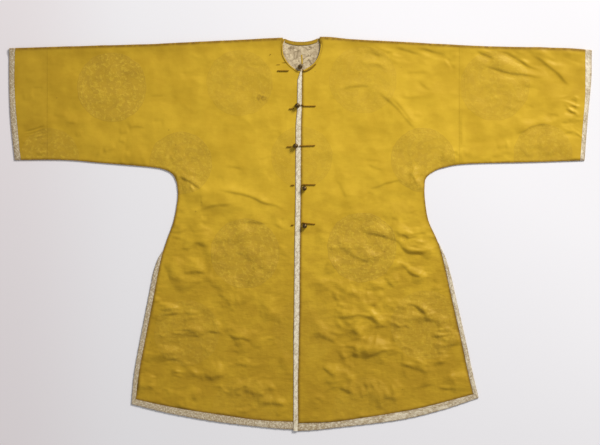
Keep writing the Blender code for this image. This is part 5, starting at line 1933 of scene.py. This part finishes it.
def stitch_row(line, level, pitch, length, radius, seed):
    """Stitches along a row of (x, y) points, with uneven steps and turns."""
    count = max(2, int(curve_length(line) / pitch))
    draw = np.random.default_rng(seed)
    share = (np.arange(count) + 0.5 + draw.uniform(-0.18, 0.18, count)) / count
    place = at_fractions(line, share)
    before, after = (at_fractions(line, np.clip(share + shift, 0, 1)) for shift in (-0.002, 0.002))
    run = unit(after - before)
    turn = draw.uniform(-0.25, 0.25, count)
    run = run + to_left(run) * turn[:, None]
    height = np.interp(share, shares(len(line)), np.broadcast_to(level, len(line)))
    centres = np.column_stack((place, height))
    return stitch_shell(centres, run, length * draw.uniform(0.75, 1.2, count), radius)


class ROBE_OT_stitches(Operator):
    """Sewing along the borders, the strip, the tails and the seam, and loose thread ends at the neck"""

    bl_idname = "robe.stitches"
    bl_label = "Stitches"

    def execute(self, context):
        robe = context.scene.robe
        left, right, base = front_strip_edges()
        pitch = robe.strip_stitch_pitch
        rows = [stitch_row(between(left, right, 0.85), base + WALL, pitch, 2.4 * MM, 0.28 * MM, 61),
                stitch_row(between(left, right, 0.15), base + WALL, pitch, 2.0 * MM, 0.22 * MM, 62)]
        seed = 70
        pitch = robe.hem_stitch_pitch
        for half in HALVES:
            for inner, outer in (vent_edges(half), front_hem_edges(half)):
                for share, drop, apart, radius in ((0.14, 0.0, 1.0, 0.22), (0.88, 0.1, 1.7, 0.20)):
                    rows.append(stitch_row(between(inner, outer, share), FRONT_TOP - drop * MM,
                                           pitch * apart, 1.8 * MM, radius * MM, seed))
                    seed += 1
        place_piece("stitches_pale", merge_shells(rows), "pale_sewing_thread")

        up = np.linspace(*SEAM_STITCHES_UP, 40)
        line = np.column_stack((np.full(len(up), SEAM_STITCHES_X), up))
        gold = [stitch_row(line, FRONT_TOP + 0.6 * MM, SEAM_STITCH_PITCH, 2.4 * MM, 0.3 * MM, 90)]
        for half in HALVES:
            inner, outer, level = binding_edges(half)
            gold.append(stitch_row(between(inner, outer, 0.8), level + BINDING_WALL,
                                   BINDING_STITCH_PITCH, 1.5 * MM, 0.18 * MM, 91))
        place_piece("stitches_gold", merge_shells(gold), "gold_sewing_thread")

        brown = []
        over_cord = FRONT_TOP + GAP + 1.85 * CORD_RADIUS
        for number, row in enumerate(FASTENINGS, start=1):
            extra = LINING_LIFT if number == 1 else 0.0
            for route, lift, begin in ((row.button_tail, OVERLAP_LIFT, 0.45), (row.loop_tail, 0.0, 0.2)):
                line = smooth_curve(route)
                share = np.linspace(begin, 0.92, 3)
                run = at_fractions(line, share + 0.02) - at_fractions(line, share - 0.02)
                centres = np.column_stack((at_fractions(line, share), np.full(3, over_cord + extra + lift)))
                brown.append(stitch_shell(centres, to_left(run), np.full(3, 3.6 * MM), 0.22 * MM))
        ends = np.array(THREAD_ENDS).reshape(-1, 2, 2) * MM
        run = ends[:, 1] - ends[:, 0]
        level = FRONT_TOP + LINING_LIFT + 0.6 * MM
        centres = np.column_stack((ends.mean(axis=1), np.full(len(ends), level)))
        brown.append(stitch_shell(centres, run, np.linalg.norm(run, axis=1), 0.55 * MM))
        place_piece("stitches_brown", merge_shells(brown), "brown_sewing_thread")
        return {"FINISHED"}


class ROBE_PT_panel(Panel):
    """Lists the robe's pieces in order of making"""

    bl_idname = "ROBE_PT_panel"
    bl_label = "Robe"
    bl_space_type = "VIEW_3D"
    bl_region_type = "UI"
    bl_category = "Robe"

    def draw(self, context):
        for name in RobeSettings.__annotations__:
            self.layout.prop(context.scene.robe, name)
        for piece in PIECES:
            self.layout.operator(piece.bl_idname)


PIECES = (
    ROBE_OT_stage, ROBE_OT_bodies, ROBE_OT_sleeve_ends, ROBE_OT_cuffs, ROBE_OT_front_strip,
    ROBE_OT_borders, ROBE_OT_neck, ROBE_OT_fastenings, ROBE_OT_stitches,
)
CLASSES = (RobeSettings,) + PIECES + (ROBE_PT_panel,)


def register():
    for item in CLASSES:
        bpy.utils.register_class(item)
    bpy.types.Scene.robe = PointerProperty(type=RobeSettings)


def unregister():
    del bpy.types.Scene.robe
    for item in reversed(CLASSES):
        bpy.utils.unregister_class(item)


def main():
    register()
    bpy.ops.robe.stage()
    bpy.ops.robe.bodies()
    bpy.ops.robe.sleeve_ends()
    bpy.ops.robe.cuffs()
    bpy.ops.robe.front_strip()
    bpy.ops.robe.borders()
    bpy.ops.robe.neck()
    bpy.ops.robe.fastenings()
    bpy.ops.robe.stitches()


if __name__ == "__main__":
    main()
